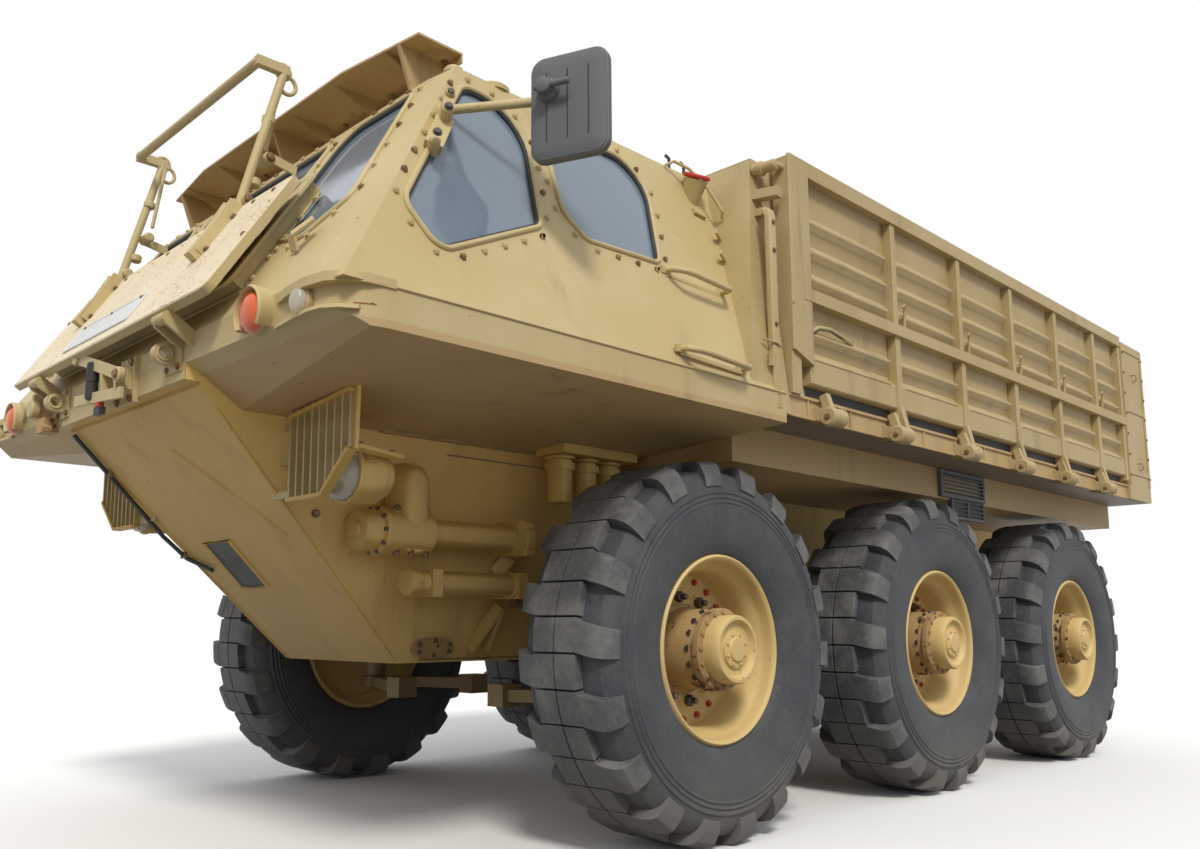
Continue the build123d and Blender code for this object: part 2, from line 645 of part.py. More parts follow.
def tailgate():
    """The rear board with its hinge arms."""
    half = BODY_HALF - CORNER_POST_WIDTH - SIDE_GAP
    panel = board_panel(2 * half)
    count = 3
    for k in range(1, count + 1):
        x = -half + 2 * half * k / (count + 1)
        panel += block(x - 19, x + 19, 0, BOARD_THICKNESS, 0, BOARD_TOP - BOARD_BOTTOM)
    panel = Pos(BED_REAR_X + TAILGATE_THICKNESS, 0, BOARD_BOTTOM) * (Rot(0, 0, 90) * panel)
    for y in (-800.0, 0.0, 800.0):
        arm = bar((TAILGATE_PIN_X, y, BOARD_PIN_Z), (BED_REAR_X - 4, y, BOARD_BOTTOM + 44), 28, 20, up=(1, 0, 0))
        eye = rod((TAILGATE_PIN_X, y - 14, BOARD_PIN_Z), (TAILGATE_PIN_X, y + 14, BOARD_PIN_Z), KNUCKLE_BARREL_R)
        bore = rod((TAILGATE_PIN_X, y - 40, BOARD_PIN_Z), (TAILGATE_PIN_X, y + 40, BOARD_PIN_Z),
                   BOARD_PIN_R + PIN_CLEARANCE)
        panel += (arm + eye) - bore
    return panel


def bed():
    """Bed floor with its hinge ears, headboard, posts."""
    floor = block(BED_REAR_X, HEADBOARD_X - HEADBOARD_THICKNESS, -BED_HALF, BED_HALF, BED_BOTTOM, BED_TOP)
    ear_out = BOARD_PIN_Y + KNUCKLE_BARREL_R
    for x in KNUCKLE_X:
        for edge in (x - KNUCKLE_WIDTH / 2, x + KNUCKLE_WIDTH / 2 - 14):
            ear = block(edge, edge + 14, BED_HALF - 20, ear_out, BOARD_PIN_Z - 18, BOARD_PIN_Z + 18)
            floor += ear + mirrored(ear)
        pin = rod((x - KNUCKLE_WIDTH / 2, BOARD_PIN_Y, BOARD_PIN_Z),
                  (x + KNUCKLE_WIDTH / 2, BOARD_PIN_Y, BOARD_PIN_Z), BOARD_PIN_R)
        floor += pin
        floor += mirrored(pin)
    for y in (-800.0, 0.0, 800.0):
        for edge in (y - 32, y + 18):
            floor += block(TAILGATE_PIN_X - 20, BED_REAR_X + 20, edge, edge + 14, BOARD_PIN_Z - 8, BOARD_PIN_Z + 18)
        floor += rod((TAILGATE_PIN_X, y - 32, BOARD_PIN_Z), (TAILGATE_PIN_X, y + 32, BOARD_PIN_Z), BOARD_PIN_R)
    x0, x1 = HEADBOARD_X - HEADBOARD_THICKNESS, HEADBOARD_X
    wall = prism([
        (-BODY_HALF + 6, BED_BOTTOM), (BODY_HALF - 6, BED_BOTTOM),
        (HEADBOARD_HALF_TOP, HEADBOARD_TOP), (-HEADBOARD_HALF_TOP, HEADBOARD_TOP),
    ], x0, x1)
    floor -= wall
    rear_post = block(BED_REAR_X, CORNER_POST_FRONT_X, BODY_HALF - CORNER_POST_WIDTH, BODY_HALF, BED_TOP, BOARD_TOP - 20)
    rear_foot = block(BED_REAR_X, CORNER_POST_FRONT_X, BED_HALF, BODY_HALF, BED_BOTTOM, BED_TOP)
    rear_post += rear_foot
    front_post = block(*FRONT_POST_X, BODY_HALF - 60, BODY_HALF - 4, BED_TOP, BOARD_TOP - 10)
    posts = []
    for post in (rear_post, front_post):
        posts += post.solids() + mirrored(post).solids()
    return {"bed_floor": floor, "headboard": wall, "bed_posts": Compound(posts)}


def shoulder():
    """The left facet that closes the corner between cab side and headboard."""
    def on_side(x, z):
        return (x, BODY_HALF - (z - SIDE_POINT[2]) * SIDE_LEAN, z)

    low, high = BELT_TOP + 19, HEADBOARD_TOP - 5
    toe, heel = on_side(HEADBOARD_X + SHOULDER_REACH, low), on_side(HEADBOARD_X, low)
    head, crown = on_side(HEADBOARD_X + SHOULDER_HEAD, SHOULDER_HEAD_Z), on_side(HEADBOARD_X, high)
    tip = (HEADBOARD_X, HEADBOARD_HALF_TOP - 3, high)
    outlines = [(toe, head, crown, heel), (toe, heel, tip), (heel, crown, tip), (head, crown, tip), (toe, head, tip)]
    return Solid(Shell([Face(Wire.make_polygon([Vector(*p) for p in points])) for points in outlines]))


def front_plane_at(point_x, point_z):
    """Working plane on the nose: x across, y up the slope, z outward."""
    return Plane(origin=(point_x, 0, point_z), x_dir=(0, 1, 0), z_dir=FRONT_NORMAL)


def on_slope(point, up, out, across_y):
    """A point on the nose plane moved up the slope, outward and sideways."""
    lean = (FRONT_LEAN ** 2 + 1) ** 0.5
    x = point[0] - up * FRONT_LEAN / lean + out / lean
    z = point[1] + up / lean + out * FRONT_LEAN / lean
    return (x, across_y, z)


def front_x(z):
    """Where the front plane stands at a height."""
    return FRONT_POINT[0] - (z - FRONT_POINT[2]) * FRONT_LEAN


def vane_hinges():
    """Eyes on the vane, and the ears and pins that carry them on the nose."""
    eyes, ears = [], []
    for y in VANE_HINGE_Y:
        pin = on_slope(VANE_TOE, -VANE_HINGE_DROP, -VANE_HINGE_SINK, y)
        edge = on_slope(VANE_TOE, 6, -VANE_HINGE_SINK, y)
        eye = rod((pin[0], y - 20, pin[2]), (pin[0], y + 20, pin[2]), VANE_EYE_R)
        eye += bar(pin, edge, 40, 16, up=FRONT_NORMAL)
        eye -= rod((pin[0], y - 40, pin[2]), (pin[0], y + 40, pin[2]), VANE_PIN_R + PIN_CLEARANCE)
        eyes.append(eye)
        holder = rod((pin[0], y - 38, pin[2]), (pin[0], y + 38, pin[2]), VANE_PIN_R)
        root_z = pin[2] - 60
        for low in (y - 38, y + 26):
            root = (min(front_x(root_z), NOSE_FACE_X) - 20, low + 6, root_z)
            holder += bar(root, (pin[0], low + 6, pin[2]), 12, 40)
            holder += rod((pin[0], low, pin[2]), (pin[0], low + 12, pin[2]), VANE_EYE_R)
        ears.append(holder - belt_core(0) - cab_core(0, CAB_ROOF_Z))
    return eyes, ears


def vane():
    """Trim vane tray, its uprights with the cross tube, and the fixed seat below it."""
    eyes, ears = vane_hinges()
    plane = front_plane_at(*VANE_TOE)
    tray = Pos(0, VANE_LENGTH / 2, -VANE_DEPTH / 2) * Box(2 * VANE_HALF, VANE_LENGTH, VANE_DEPTH)
    hollow = Pos(0, VANE_LENGTH / 2, -VANE_DEPTH / 2 - VANE_SHEET) * Box(
        2 * (VANE_HALF - VANE_SHEET), VANE_LENGTH - 2 * VANE_SHEET, VANE_DEPTH)
    plate = plane * (tray - hollow)
    for eye in eyes:
        plate += eye
    base = on_slope(VANE_TOE, VANE_LENGTH - 20, 0, FRAME_Y)
    top = (2738.0, FRAME_Y, 2412.0)
    tip = (2825.0, FRAME_Y, 2412.0)
    foot = on_slope(VANE_TOE, 210, 16, FRAME_Y)
    head = on_slope(VANE_TOE, VANE_LENGTH - 6, 16, FRAME_Y)
    frame = bar(foot, head, 34, 32, up=FRONT_NORMAL)
    frame += rod(base, top, FRAME_TUBE_R)
    frame += bar((top[0] - 14, FRAME_Y, top[2]), (tip[0] + 10, FRAME_Y, tip[2]), 26, 30)
    frame = frame - (plane * Pos(0, 0, -500) * Box(4000, 4000, 1000))
    both = frame + mirrored(frame) + rod((tip[0], -FRAME_Y, tip[2]), (tip[0], FRAME_Y, tip[2]), FRAME_TUBE_R)
    seat_plane = front_plane_at(front_x(SEAT_TOE_Z), SEAT_TOE_Z)
    lift = SEAT_HEIGHT / 2
    seat = Pos(0, SEAT_LENGTH / 2, lift) * Box(2 * SEAT_HALF, SEAT_LENGTH, SEAT_HEIGHT)
    seat -= Pos(0, SEAT_LENGTH / 2 + SEAT_RAIL, lift) * Box(2 * (SEAT_HALF - SEAT_RAIL), SEAT_LENGTH, 2 * SEAT_HEIGHT)
    seat = seat_plane * seat
    carried = [solid for shape in [seat] + ears for solid in shape.solids()]
    return {"trim_vane": plate, "vane_frame": both, "vane_seat": Compound(carried)}


def visor():
    """Flat shade above the windscreens with its two carrying webs."""
    z = 2455.0
    outline = make_face(Polyline(
        (2345, -855), (2515, -855), (2560, -500), (2560, 500), (2515, 855), (2345, 855), close=True))
    plate = extrude(Plane(origin=(0, 0, z)) * outline, amount=7)
    for y in (-780.0, -10.0, 760.0):
        web = side_prism([(2360, CAB_ROOF_Z), (2470, CAB_ROOF_Z), (2530, z), (2360, z)], y, y + 12)
        plate += web
    return {"visor": plate}


def fittings():
    """Tow eyes, rear buffer and pintle, handles, guards, lamps, mirrors and grilles."""
    nodes = {}
    tow = []
    eye_x, lug_x = NOSE_FACE_X + TOW_EYE_REACH, STERN_X - REAR_LUG_REACH
    for sign in (1, -1):
        y, half = sign * TOW_EYE_Y, TOW_EYE_WIDTH / 2
        lug = rod((eye_x, y - half, TOW_EYE_Z), (eye_x, y + half, TOW_EYE_Z), TOW_EYE_R)
        lug += block(NOSE_FACE_X, eye_x, y - half, y + half, TOW_EYE_Z - TOW_EYE_R, TOW_EYE_Z + TOW_EYE_R)
        tow.append(lug - rod((eye_x, y - 40, TOW_EYE_Z), (eye_x, y + 40, TOW_EYE_Z), TOW_EYE_BORE_R))
        y, half = sign * REAR_LUG_Y, REAR_LUG_WIDTH / 2
        lug = block(lug_x - 40, STERN_X, y - half, y + half, PINTLE_Z - 50, PINTLE_Z + 50)
        tow.append(lug - rod((lug_x, y - 60, PINTLE_Z), (lug_x, y + 60, PINTLE_Z), REAR_LUG_BORE_R))
    pintle = block(STERN_X - 30, STERN_X, -110, 110, PINTLE_Z - 100, PINTLE_Z + 100)
    hook_x = STERN_X - PINTLE_REACH + PINTLE_HOOK_R
    pintle += rod((STERN_X - 30, 0, PINTLE_Z), (hook_x, 0, PINTLE_Z), 50)
    pintle += rod((hook_x, 0, PINTLE_Z - 60), (hook_x, 0, PINTLE_Z + 60), PINTLE_HOOK_R)
    pintle -= rod((hook_x, 0, PINTLE_Z - 80), (hook_x, 0, PINTLE_Z + 80), PINTLE_BORE_R)
    tow.append(pintle)
    nodes["tow_fittings"] = Compound([s for t in tow for s in t.solids()])

    nodes["headlamp_guards"], head = headlamps()
    lamps = head.solids() + mirrored(head).solids()
    signal = rod((NOSE_FACE_X - 60, SIGNAL_Y, SIGNAL_Z), (NOSE_FACE_X + SIGNAL_PROUD, SIGNAL_Y, SIGNAL_Z), SIGNAL_R)
    signal = signal - cab_core(0, CAB_ROOF_Z, 1000)
    lamps += signal.solids() + mirrored(signal).solids()
    tail = block(BED_REAR_X - 36, BED_REAR_X, BODY_HALF - 118, BODY_HALF - 28, 1500, 1640)
    lamps += tail.solids() + mirrored(tail).solids()
    nodes["lamps"] = Compound(lamps)

    elbow = (MIRROR_X, MIRROR_Y - 70, MIRROR_Z + 45)
    arm = rod((2599, BODY_HALF - 248, 2099), elbow, 13) + rod(elbow, (MIRROR_X, MIRROR_Y, elbow[2]), 13)
    glass = Box(24, MIRROR_WIDTH, MIRROR_HEIGHT)
    glass = fillet(glass.edges().filter_by(Axis.X), 40)
    glass = Pos(MIRROR_X, MIRROR_Y, MIRROR_Z) * Rot(0, 0, MIRROR_TURN) * glass
    mirror_unit = (arm - cab_core(0, CAB_ROOF_Z)) + glass
    nodes["mirrors"] = Compound(mirror_unit.solids() + mirrored(mirror_unit).solids())

    handles = []
    foot, grip = BODY_HALF - 132, BODY_HALF - 68
    high = rod((1772, foot, 1815), (1772, grip, 1800), 11) + rod((1485, foot, 1805), (1485, grip, 1800), 11)
    high += rod((1772, grip, 1800), (1485, grip, 1800), 11)
    foot, grip = BODY_HALF - 18, BODY_HALF + 44
    low = rod((1846, foot, 1520), (1846, grip, 1508), 11) + rod((1537, foot, 1520), (1537, grip, 1508), 11)
    low += rod((1846, grip, 1508), (1537, grip, 1508), 11)
    for handle in (high, low):
        handle = handle - cab_core(0, CAB_ROOF_Z)
        handles += handle.solids() + mirrored(handle).solids()
    nodes["grab_handles"] = Compound(handles)

    frame = block(-720, -260, SPONSON_HALF, SPONSON_HALF + 18, SPONSON_BOTTOM + 8, BED_BOTTOM - 6)
    frame -= block(-700, -280, SPONSON_HALF - 10, SPONSON_HALF + 40, SPONSON_BOTTOM + 24, BED_BOTTOM - 22)
    for k in range(5):
        z = SPONSON_BOTTOM + 36 + k * 18
        frame += block(-705, -275, SPONSON_HALF, SPONSON_HALF + 16, z - 3, z + 3)
    nodes["side_grilles"] = Compound(frame.solids() + mirrored(frame).solids())
    return nodes


def headlamps():
    """The slatted guards under the wings, and the left headlamp behind its guard."""
    x, root = HEADLAMP_X, hull_half(HULL_TOP - UNDERSIDE_DROP)
    under = [wing_underside(y) - SEAT_CLEARANCE for y in (root, BODY_HALF)]
    wing = [(300, 1600), (300, under[0]), (root, under[0]), (BODY_HALF, under[1]), (BODY_HALF, 1600)]
    guard = None
    for k in range(GUARD_SLATS):
        y = GUARD_INNER_Y + (GUARD_OUTER_Y - GUARD_INNER_Y) * k / (GUARD_SLATS - 1)
        foot = GUARD_BOTTOM + max(0.0, y - GUARD_CUT_Y) * GUARD_CUT_SLOPE
        slat = block(x + GUARD_AHEAD, x + GUARD_AHEAD + 22, y - 4, y + 4, foot, HULL_TOP)
        guard = slat if guard is None else guard + slat
    rails = ((GUARD_BOTTOM + 20, GUARD_CUT_Y), (1170.0, GUARD_OUTER_Y), (1272.0, GUARD_OUTER_Y))
    for z, outer in rails:
        guard += block(x + GUARD_AHEAD - 10, x + GUARD_AHEAD + 2, hull_half(z) - 30, outer, z - 10, z + 10)
    guard = guard - hull_core(0) - prism(wing, x - 100, x + 300)
    y, z = HEADLAMP_Y, HEADLAMP_Z
    head = rod((x, y, z), (x - 95, y, z), 80) + rod((x - 95, y, z), (x - 125, y, z), 54)
    head += bar((x - 70, hull_half(z) - 30, z), (x - 70, y, z), 40, 30)
    return Compound(guard.solids() + mirrored(guard).solids()), head - hull_core(0)


def overall_middle():
    """Middle of the overall length: vane hinge eye in front, pintle behind."""
    pin = on_slope(VANE_TOE, -VANE_HINGE_DROP, -VANE_HINGE_SINK, 0)
    return (pin[0] + VANE_EYE_R + STERN_X - PINTLE_REACH) / 2


def interior():
    """Seats, driver's controls and the engine block."""
    floor_z = BELT_BOTTOM + FLOOR_PLATE
    seats = []
    for x, y in ((2180.0, 0.0), (1700.0, 640.0), (1700.0, -640.0)):
        seat = block(x - 220, x + 220, y - 220, y + 220, floor_z, floor_z + 330)
        back = block(x - 300, x - 220, y - 220, y + 220, floor_z, floor_z + 700)
        seats.append(seat + back)
    panel = block(2620, 2700, -420, 420, floor_z, 1780)
    wheel = Pos(2480, 0, 1830) * Rot(0, 70, 0) * Torus(215, 14)
    column = rod((2680, 0, 1755), (2480, 0, 1830), 22)
    spoke = bar((2480, -215, 1830), (2480, 215, 1830), 30, 12)
    engine_z = HULL_BOTTOM + HULL_WALL + BEARER_HEIGHT
    engine = block(*ENGINE_X, -ENGINE_WIDTH / 2, ENGINE_WIDTH / 2, engine_z, engine_z + ENGINE_HEIGHT)
    return {
        "seats": Compound([s for seat in seats for s in seat.solids()]),
        "driver_controls": panel + wheel + column + spoke,
        "engine": engine,
    }


def main():
    """Build every node and write it."""
    os.makedirs("parts", exist_ok=True)
    nodes = {}
    nodes.update(hull())
    nodes.update(belt())
    nodes.update(cab())
    ears = hatch_brackets()
    roof = nodes["cab_roof"]
    for ear in ears:
        roof += ear
    nodes["cab_roof"] = roof
    nodes.update(interior())
    nodes.update(running_gear())
    nodes.update(spring_tubes())
    nodes.update(bed())
    nodes["drop_side_left"] = drop_side(1)
    nodes["drop_side_right"] = drop_side(-1)
    nodes["tailgate"] = tailgate()
    nodes["hatch_left"] = hatch(1)
    nodes["hatch_right"] = hatch(-1)
    nodes.update(vane())
    nodes.update(visor())
    nodes.update(fittings())
    bulkhead = nodes.pop("cab_bulkhead")
    corner = shoulder()
    nodes["headboard"] = nodes["headboard"] + bulkhead + corner + mirrored(corner)
    to_origin = Pos(-overall_middle(), 0, 0)
    for name, shape in nodes.items():
        export_step(to_origin * shape, f"parts/{name}.step")


if __name__ == "__main__":
    main()
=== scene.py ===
"""Dresses the six-wheeled amphibious cargo truck: finishes, tyres, wheels, cab trim and fittings."""
from __future__ import annotations

import json
import logging
import math
from collections.abc import Callable, Sequence
from dataclasses import dataclass
from enum import Enum
from random import Random

import bmesh
import bpy
from mathutils import Matrix, Vector

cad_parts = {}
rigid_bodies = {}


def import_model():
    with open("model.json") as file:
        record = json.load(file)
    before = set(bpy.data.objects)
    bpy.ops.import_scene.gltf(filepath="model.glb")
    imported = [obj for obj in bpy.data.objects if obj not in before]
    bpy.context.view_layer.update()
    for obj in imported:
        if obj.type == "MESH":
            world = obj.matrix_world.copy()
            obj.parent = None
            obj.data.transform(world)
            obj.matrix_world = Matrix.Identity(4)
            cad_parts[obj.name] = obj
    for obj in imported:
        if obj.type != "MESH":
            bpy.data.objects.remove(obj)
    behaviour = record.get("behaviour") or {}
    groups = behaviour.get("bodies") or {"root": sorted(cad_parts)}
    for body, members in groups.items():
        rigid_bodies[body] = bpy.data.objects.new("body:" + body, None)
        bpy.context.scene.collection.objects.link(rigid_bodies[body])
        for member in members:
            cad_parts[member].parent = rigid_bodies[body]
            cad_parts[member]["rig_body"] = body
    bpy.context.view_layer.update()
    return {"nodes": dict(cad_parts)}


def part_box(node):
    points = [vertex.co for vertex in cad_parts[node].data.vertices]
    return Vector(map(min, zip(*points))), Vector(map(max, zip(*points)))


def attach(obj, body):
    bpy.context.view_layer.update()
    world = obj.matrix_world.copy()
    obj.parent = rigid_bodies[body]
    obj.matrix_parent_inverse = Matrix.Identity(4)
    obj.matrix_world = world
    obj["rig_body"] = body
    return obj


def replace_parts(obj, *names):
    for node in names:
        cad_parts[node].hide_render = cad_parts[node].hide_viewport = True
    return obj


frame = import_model()

log = logging.getLogger("truck")

Piece = bpy.types.Object
Material = bpy.types.Material
Tree = bpy.types.NodeTree
Socket = bpy.types.NodeSocket
Pair = tuple[float, float]
Triple = tuple[float, float, float]
Profile = Sequence[Pair]
Place = Vector | Triple
Seat = Callable[[float, float, float], Vector]

MM = 0.001
SIDES = {"left": 1, "right": -1}
SIGNS = (1, -1)
AXLES = ("front", "second", "rear")
TURN = 2 * math.pi
AHEAD, ACROSS, UP = Vector((1, 0, 0)), Vector((0, 1, 0)), Vector((0, 0, 1))


def node_middle(node: str) -> Vector:
    """Middle of a CAD node's box."""
    low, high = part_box(node)
    return (low + high) / 2


FRONT_AXLE_X = node_middle("tyre_front_left").x


def spot(ahead: float, left: float, up: float) -> Vector:
    """A place in millimetres ahead of the front axle, left of the middle and above the ground."""
    return Vector((FRONT_AXLE_X + ahead * MM, left * MM, up * MM))


# ---------------------------------------------------------------- shader graphs


class Graph:
    """Adds and links the nodes of one node tree."""

    def __init__(self, tree: Tree) -> None:
        """Starts on a tree."""
        self.tree = tree

    def add(self, kind: str, settings: dict | None = None, **inputs: object) -> bpy.types.Node:
        """Adds a node.

        Args:
            kind: The node's type without its ShaderNode prefix.
            settings: Attributes of the node.
            inputs: Socket values or sockets, as for set.

        Returns:
            The new node.
        """
        node = self.tree.nodes.new("ShaderNode" + kind)
        for key, value in (settings or {}).items():
            setattr(node, key, value)
        return self.set(node, **inputs)

    def set(self, node: bpy.types.Node, **inputs: object) -> bpy.types.Node:
        """Feeds a node's inputs by name; an underscore in a name stands for a space."""
        for key, value in inputs.items():
            self.feed(node.inputs[key.replace("_", " ")], value)
        return node

    def feed(self, socket: Socket, value: object) -> None:
        """Links a socket to another, or sets its value."""
        if isinstance(value, Socket):
            self.tree.links.new(value, socket)
        elif socket.type == "RGBA" and len(value) == 3:
            socket.default_value = (*value, 1.0)
        else:
            socket.default_value = value

    def math(self, operation: str, a: object, b: object = 0.0) -> Socket:
        """The result of a Math node on two values."""
        node = self.add("Math", {"operation": operation})
        self.feed(node.inputs[0], a)
        self.feed(node.inputs[1], b)
        return node.outputs[0]

    def noise(self, coordinates: Socket, scale: object, detail: float = 4.0, rough: float = 0.55,
            stretch: Triple | None = None) -> Socket:
        """A noise value.

        Args:
            coordinates: Where it is read.
            scale: Its scale.
            detail: How many finer layers it has.
            rough: How strong they are.
            stretch: Scale of the coordinates along each axis.

        Returns:
            The value, about 0.5 on average.
        """
        if stretch:
            mapping = self.add("Mapping", Vector=coordinates, Scale=stretch)
            coordinates = mapping.outputs[0]
        node = self.add("TexNoise", Vector=coordinates, Scale=scale, Detail=detail, Roughness=rough)
        return node.outputs["Fac"]

    def band(self, value: Socket, low: float, high: float) -> Socket:
        """A smooth mask of a value.

        Args:
            value: The value.
            low: Where the mask is 0.
            high: Where it is 1.

        Returns:
            The mask.
        """
        node = self.add("MapRange", {"interpolation_type": "SMOOTHSTEP"}, Value=value)
        node.inputs["From Min"].default_value = low
        node.inputs["From Max"].default_value = high
        return node.outputs["Result"]

    def mix(self, factor: object, first: object, second: object) -> Socket:
        """A colour mixed from two.

        Args:
            factor: Share of the second.
            first: The first colour.
            second: The second colour.

        Returns:
            The mixed colour.
        """
        node = self.add("Mix", {"data_type": "RGBA"})
        self.feed(node.inputs[0], factor)
        self.feed(node.inputs[6], first)
        self.feed(node.inputs[7], second)
        return node.outputs[2]

    def position(self) -> Socket:
        """Coordinates in metres that stay with the piece."""
        return self.add("TexCoord").outputs["Object"]

    def part(self, vector: Socket, axis: str) -> Socket:
        """One coordinate of a vector."""
        return self.add("SeparateXYZ", Vector=vector).outputs[axis]

    def bump(self, strength: float, distance: float, height: Socket) -> Socket:
        """A normal raised by a height."""
        return self.add("Bump", Strength=strength, Distance=distance, Height=height).outputs[0]

    def group(self, tree: Tree, **inputs: float) -> bpy.types.bpy_prop_collection:
        """Places a node group with its own values and returns its outputs."""
        return self.set(self.add("Group", {"node_tree": tree}), **inputs).outputs

    def seen(self) -> Socket:
        """1 where the camera looks, straight or by way of gloss or glass."""
        rays = self.add("LightPath").outputs
        direct = self.math("MAXIMUM", rays["Is Camera Ray"], rays["Is Glossy Ray"])
        return self.math("MAXIMUM", direct, rays["Is Transmission Ray"])


class EffectGroups:
    """Shader node groups that several finishes share."""

    def __init__(self) -> None:
        """Builds each group once."""
        self.weather = self._weather()
        self.chips = self._chips()
        self.sheet = self._sheet()

    @staticmethod
    def _group(name: str, inputs: dict[str, float], outputs: Sequence[str]) -> tuple:
        """Starts a group of float sockets.

        Args:
            name: The group's name.
            inputs: Its inputs with their values.
            outputs: Its outputs.

        Returns:
            The tree, its graph, its inputs and its outputs.
        """
        tree = bpy.data.node_groups.new(name, "ShaderNodeTree")
        for label, value in inputs.items():
            socket = tree.interface.new_socket(label, in_out="INPUT", socket_type="NodeSocketFloat")
            socket.default_value = value
        for label in outputs:
            tree.interface.new_socket(label, in_out="OUTPUT", socket_type="NodeSocketFloat")
        source, sink = tree.nodes.new("NodeGroupInput"), tree.nodes.new("NodeGroupOutput")
        return tree, Graph(tree), source.outputs, sink

    def _weather(self) -> Tree:
        """Faded blotches, run-down streaks and road dust that gathers low on the body."""
        tree, g, source, sink = self._group("weather", {"Blotch": 0.5, "Streak": 0.5, "Dust": 0.5},
            ("Fade", "Streaks", "Dust"))
        where = g.position()
        cloud = g.noise(where, 2.3, 6.0, 0.6)
        fade = g.math("MULTIPLY", g.band(cloud, 0.36, 0.66), source["Blotch"])
        runs = g.noise(where, 9.0, 5.0, 0.6, (1.0, 1.0, 0.09))
        patch = g.noise(where, 1.7, 3.0)
        runs = g.math("MULTIPLY", g.band(runs, 0.5, 0.78), g.band(patch, 0.4, 0.62))
        low = g.band(g.math("ADD", g.part(where, "Z"), g.math("MULTIPLY", cloud, 0.5)), 1.5, 0.7)
        g.set(sink, Fade=fade, Streaks=g.math("MULTIPLY", runs, source["Streak"]),
            Dust=g.math("MULTIPLY", low, source["Dust"]))
        return tree

    def _chips(self) -> Tree:
        """Small flakes and pits where paint has gone, gathered in patches."""
        tree, g, source, sink = self._group("chips", {"Amount": 0.5, "Size": 60.0}, ("Mask", "Height"))
        where = g.position()
        grain = g.noise(where, source["Size"], 6.0, 0.65)
        patch = g.noise(where, 3.1, 4.0, 0.6)
        level = g.math("ADD", grain, g.math("MULTIPLY", patch, 0.35))
        level = g.math("ADD", level, g.math("MULTIPLY", source["Amount"], 0.16))
        mask = g.band(level, 0.93, 0.97)
        g.set(sink, Mask=mask, Height=g.math("SUBTRACT", 1.0, mask))
        return tree

    def _sheet(self) -> Tree:
        """Height of hand-worked sheet metal: soft waves under brushed paint."""
        tree, g, source, sink = self._group("sheet", {"Waves": 1.0, "Grain": 1.0}, ("Height",))
        where = g.position()
        waves = g.math("MULTIPLY", g.noise(where, 1.9, 2.0), source["Waves"])
        grain = g.math("MULTIPLY", g.noise(where, 160.0, 3.0), g.math("MULTIPLY", source["Grain"], 0.007))
        g.set(sink, Height=g.math("ADD", waves, grain))
        return tree


EFFECTS = EffectGroups()


def new_material(name: str) -> tuple[Material, Graph, bpy.types.Node]:
    """Starts a material and returns it with its graph and its Principled shader."""
    material = bpy.data.materials.new(name)
    material.use_nodes = True
    return material, Graph(material.node_tree), material.node_tree.nodes["Principled BSDF"]


@dataclass(frozen=True)
class Paint:
    """Brushed vehicle paint over sheet metal.

    Attributes:
        name: Material name.
        colour: Clean paint.
        faded: Sun-faded paint.
        grime: Streaks and dust.
        bare: What shows where paint has gone.
        painted_side_light: Paler paint on faces that look sideways: painted light, standing in for light
            bounced up onto the sides.
        painted_under_shade: Darker paint on faces that look down: painted shade, standing in for the shadow
            under the body.
    """

    name: str
    colour: Triple
    faded: Triple
    grime: Triple = (0.19, 0.125, 0.06)
    bare: Triple = (0.075, 0.035, 0.018)
    blotch: float = 0.6
    streak: float = 0.4
    dust: float = 0.35
    chip: float = 0.25
    chip_size: float = 60.0
    rough: float = 0.58
    waves: float = 1.0
    painted_side_light: Triple | None = None
    painted_under_shade: Triple | None = None

    def build(self) -> Material:
        """Makes the material."""
        material, g, shader = new_material(self.name)
        weather = g.group(EFFECTS.weather, Blotch=self.blotch, Streak=self.streak, Dust=self.dust)
        chips = g.group(EFFECTS.chips, Amount=self.chip, Size=self.chip_size)
        sheet = g.group(EFFECTS.sheet, Waves=self.waves, Grain=1.0)
        colour = g.mix(weather["Fade"], self.colour, self.faded)
        facing = g.add("NewGeometry").outputs["Normal"]
        # Painted light: faces that look sideways are made paler, standing in for light bounced up from the
        # ground.
        if self.painted_side_light:
            colour = g.mix(g.band(g.math("ABSOLUTE", g.part(facing, "Y")), 0.70, 0.95), colour, self.painted_side_light)
        # Painted shade: faces that look down are darkened, standing in for the shadow under the body.
        if self.painted_under_shade:
            colour = g.mix(g.band(g.part(facing, "Z"), -0.55, -0.9), colour, self.painted_under_shade)
        for mask, shown in ((weather["Streaks"], self.grime), (weather["Dust"], self.grime),
                (chips["Mask"], self.bare)):
            colour = g.mix(mask, colour, shown)
        rough = g.math("ADD", g.math("MULTIPLY", chips["Mask"], 0.25), self.rough)
        height = g.math("ADD", sheet["Height"], g.math("MULTIPLY", chips["Height"], 0.04))
        g.set(shader, Base_Color=colour, Roughness=rough, Normal=g.bump(0.55, 0.012, height))
        return material


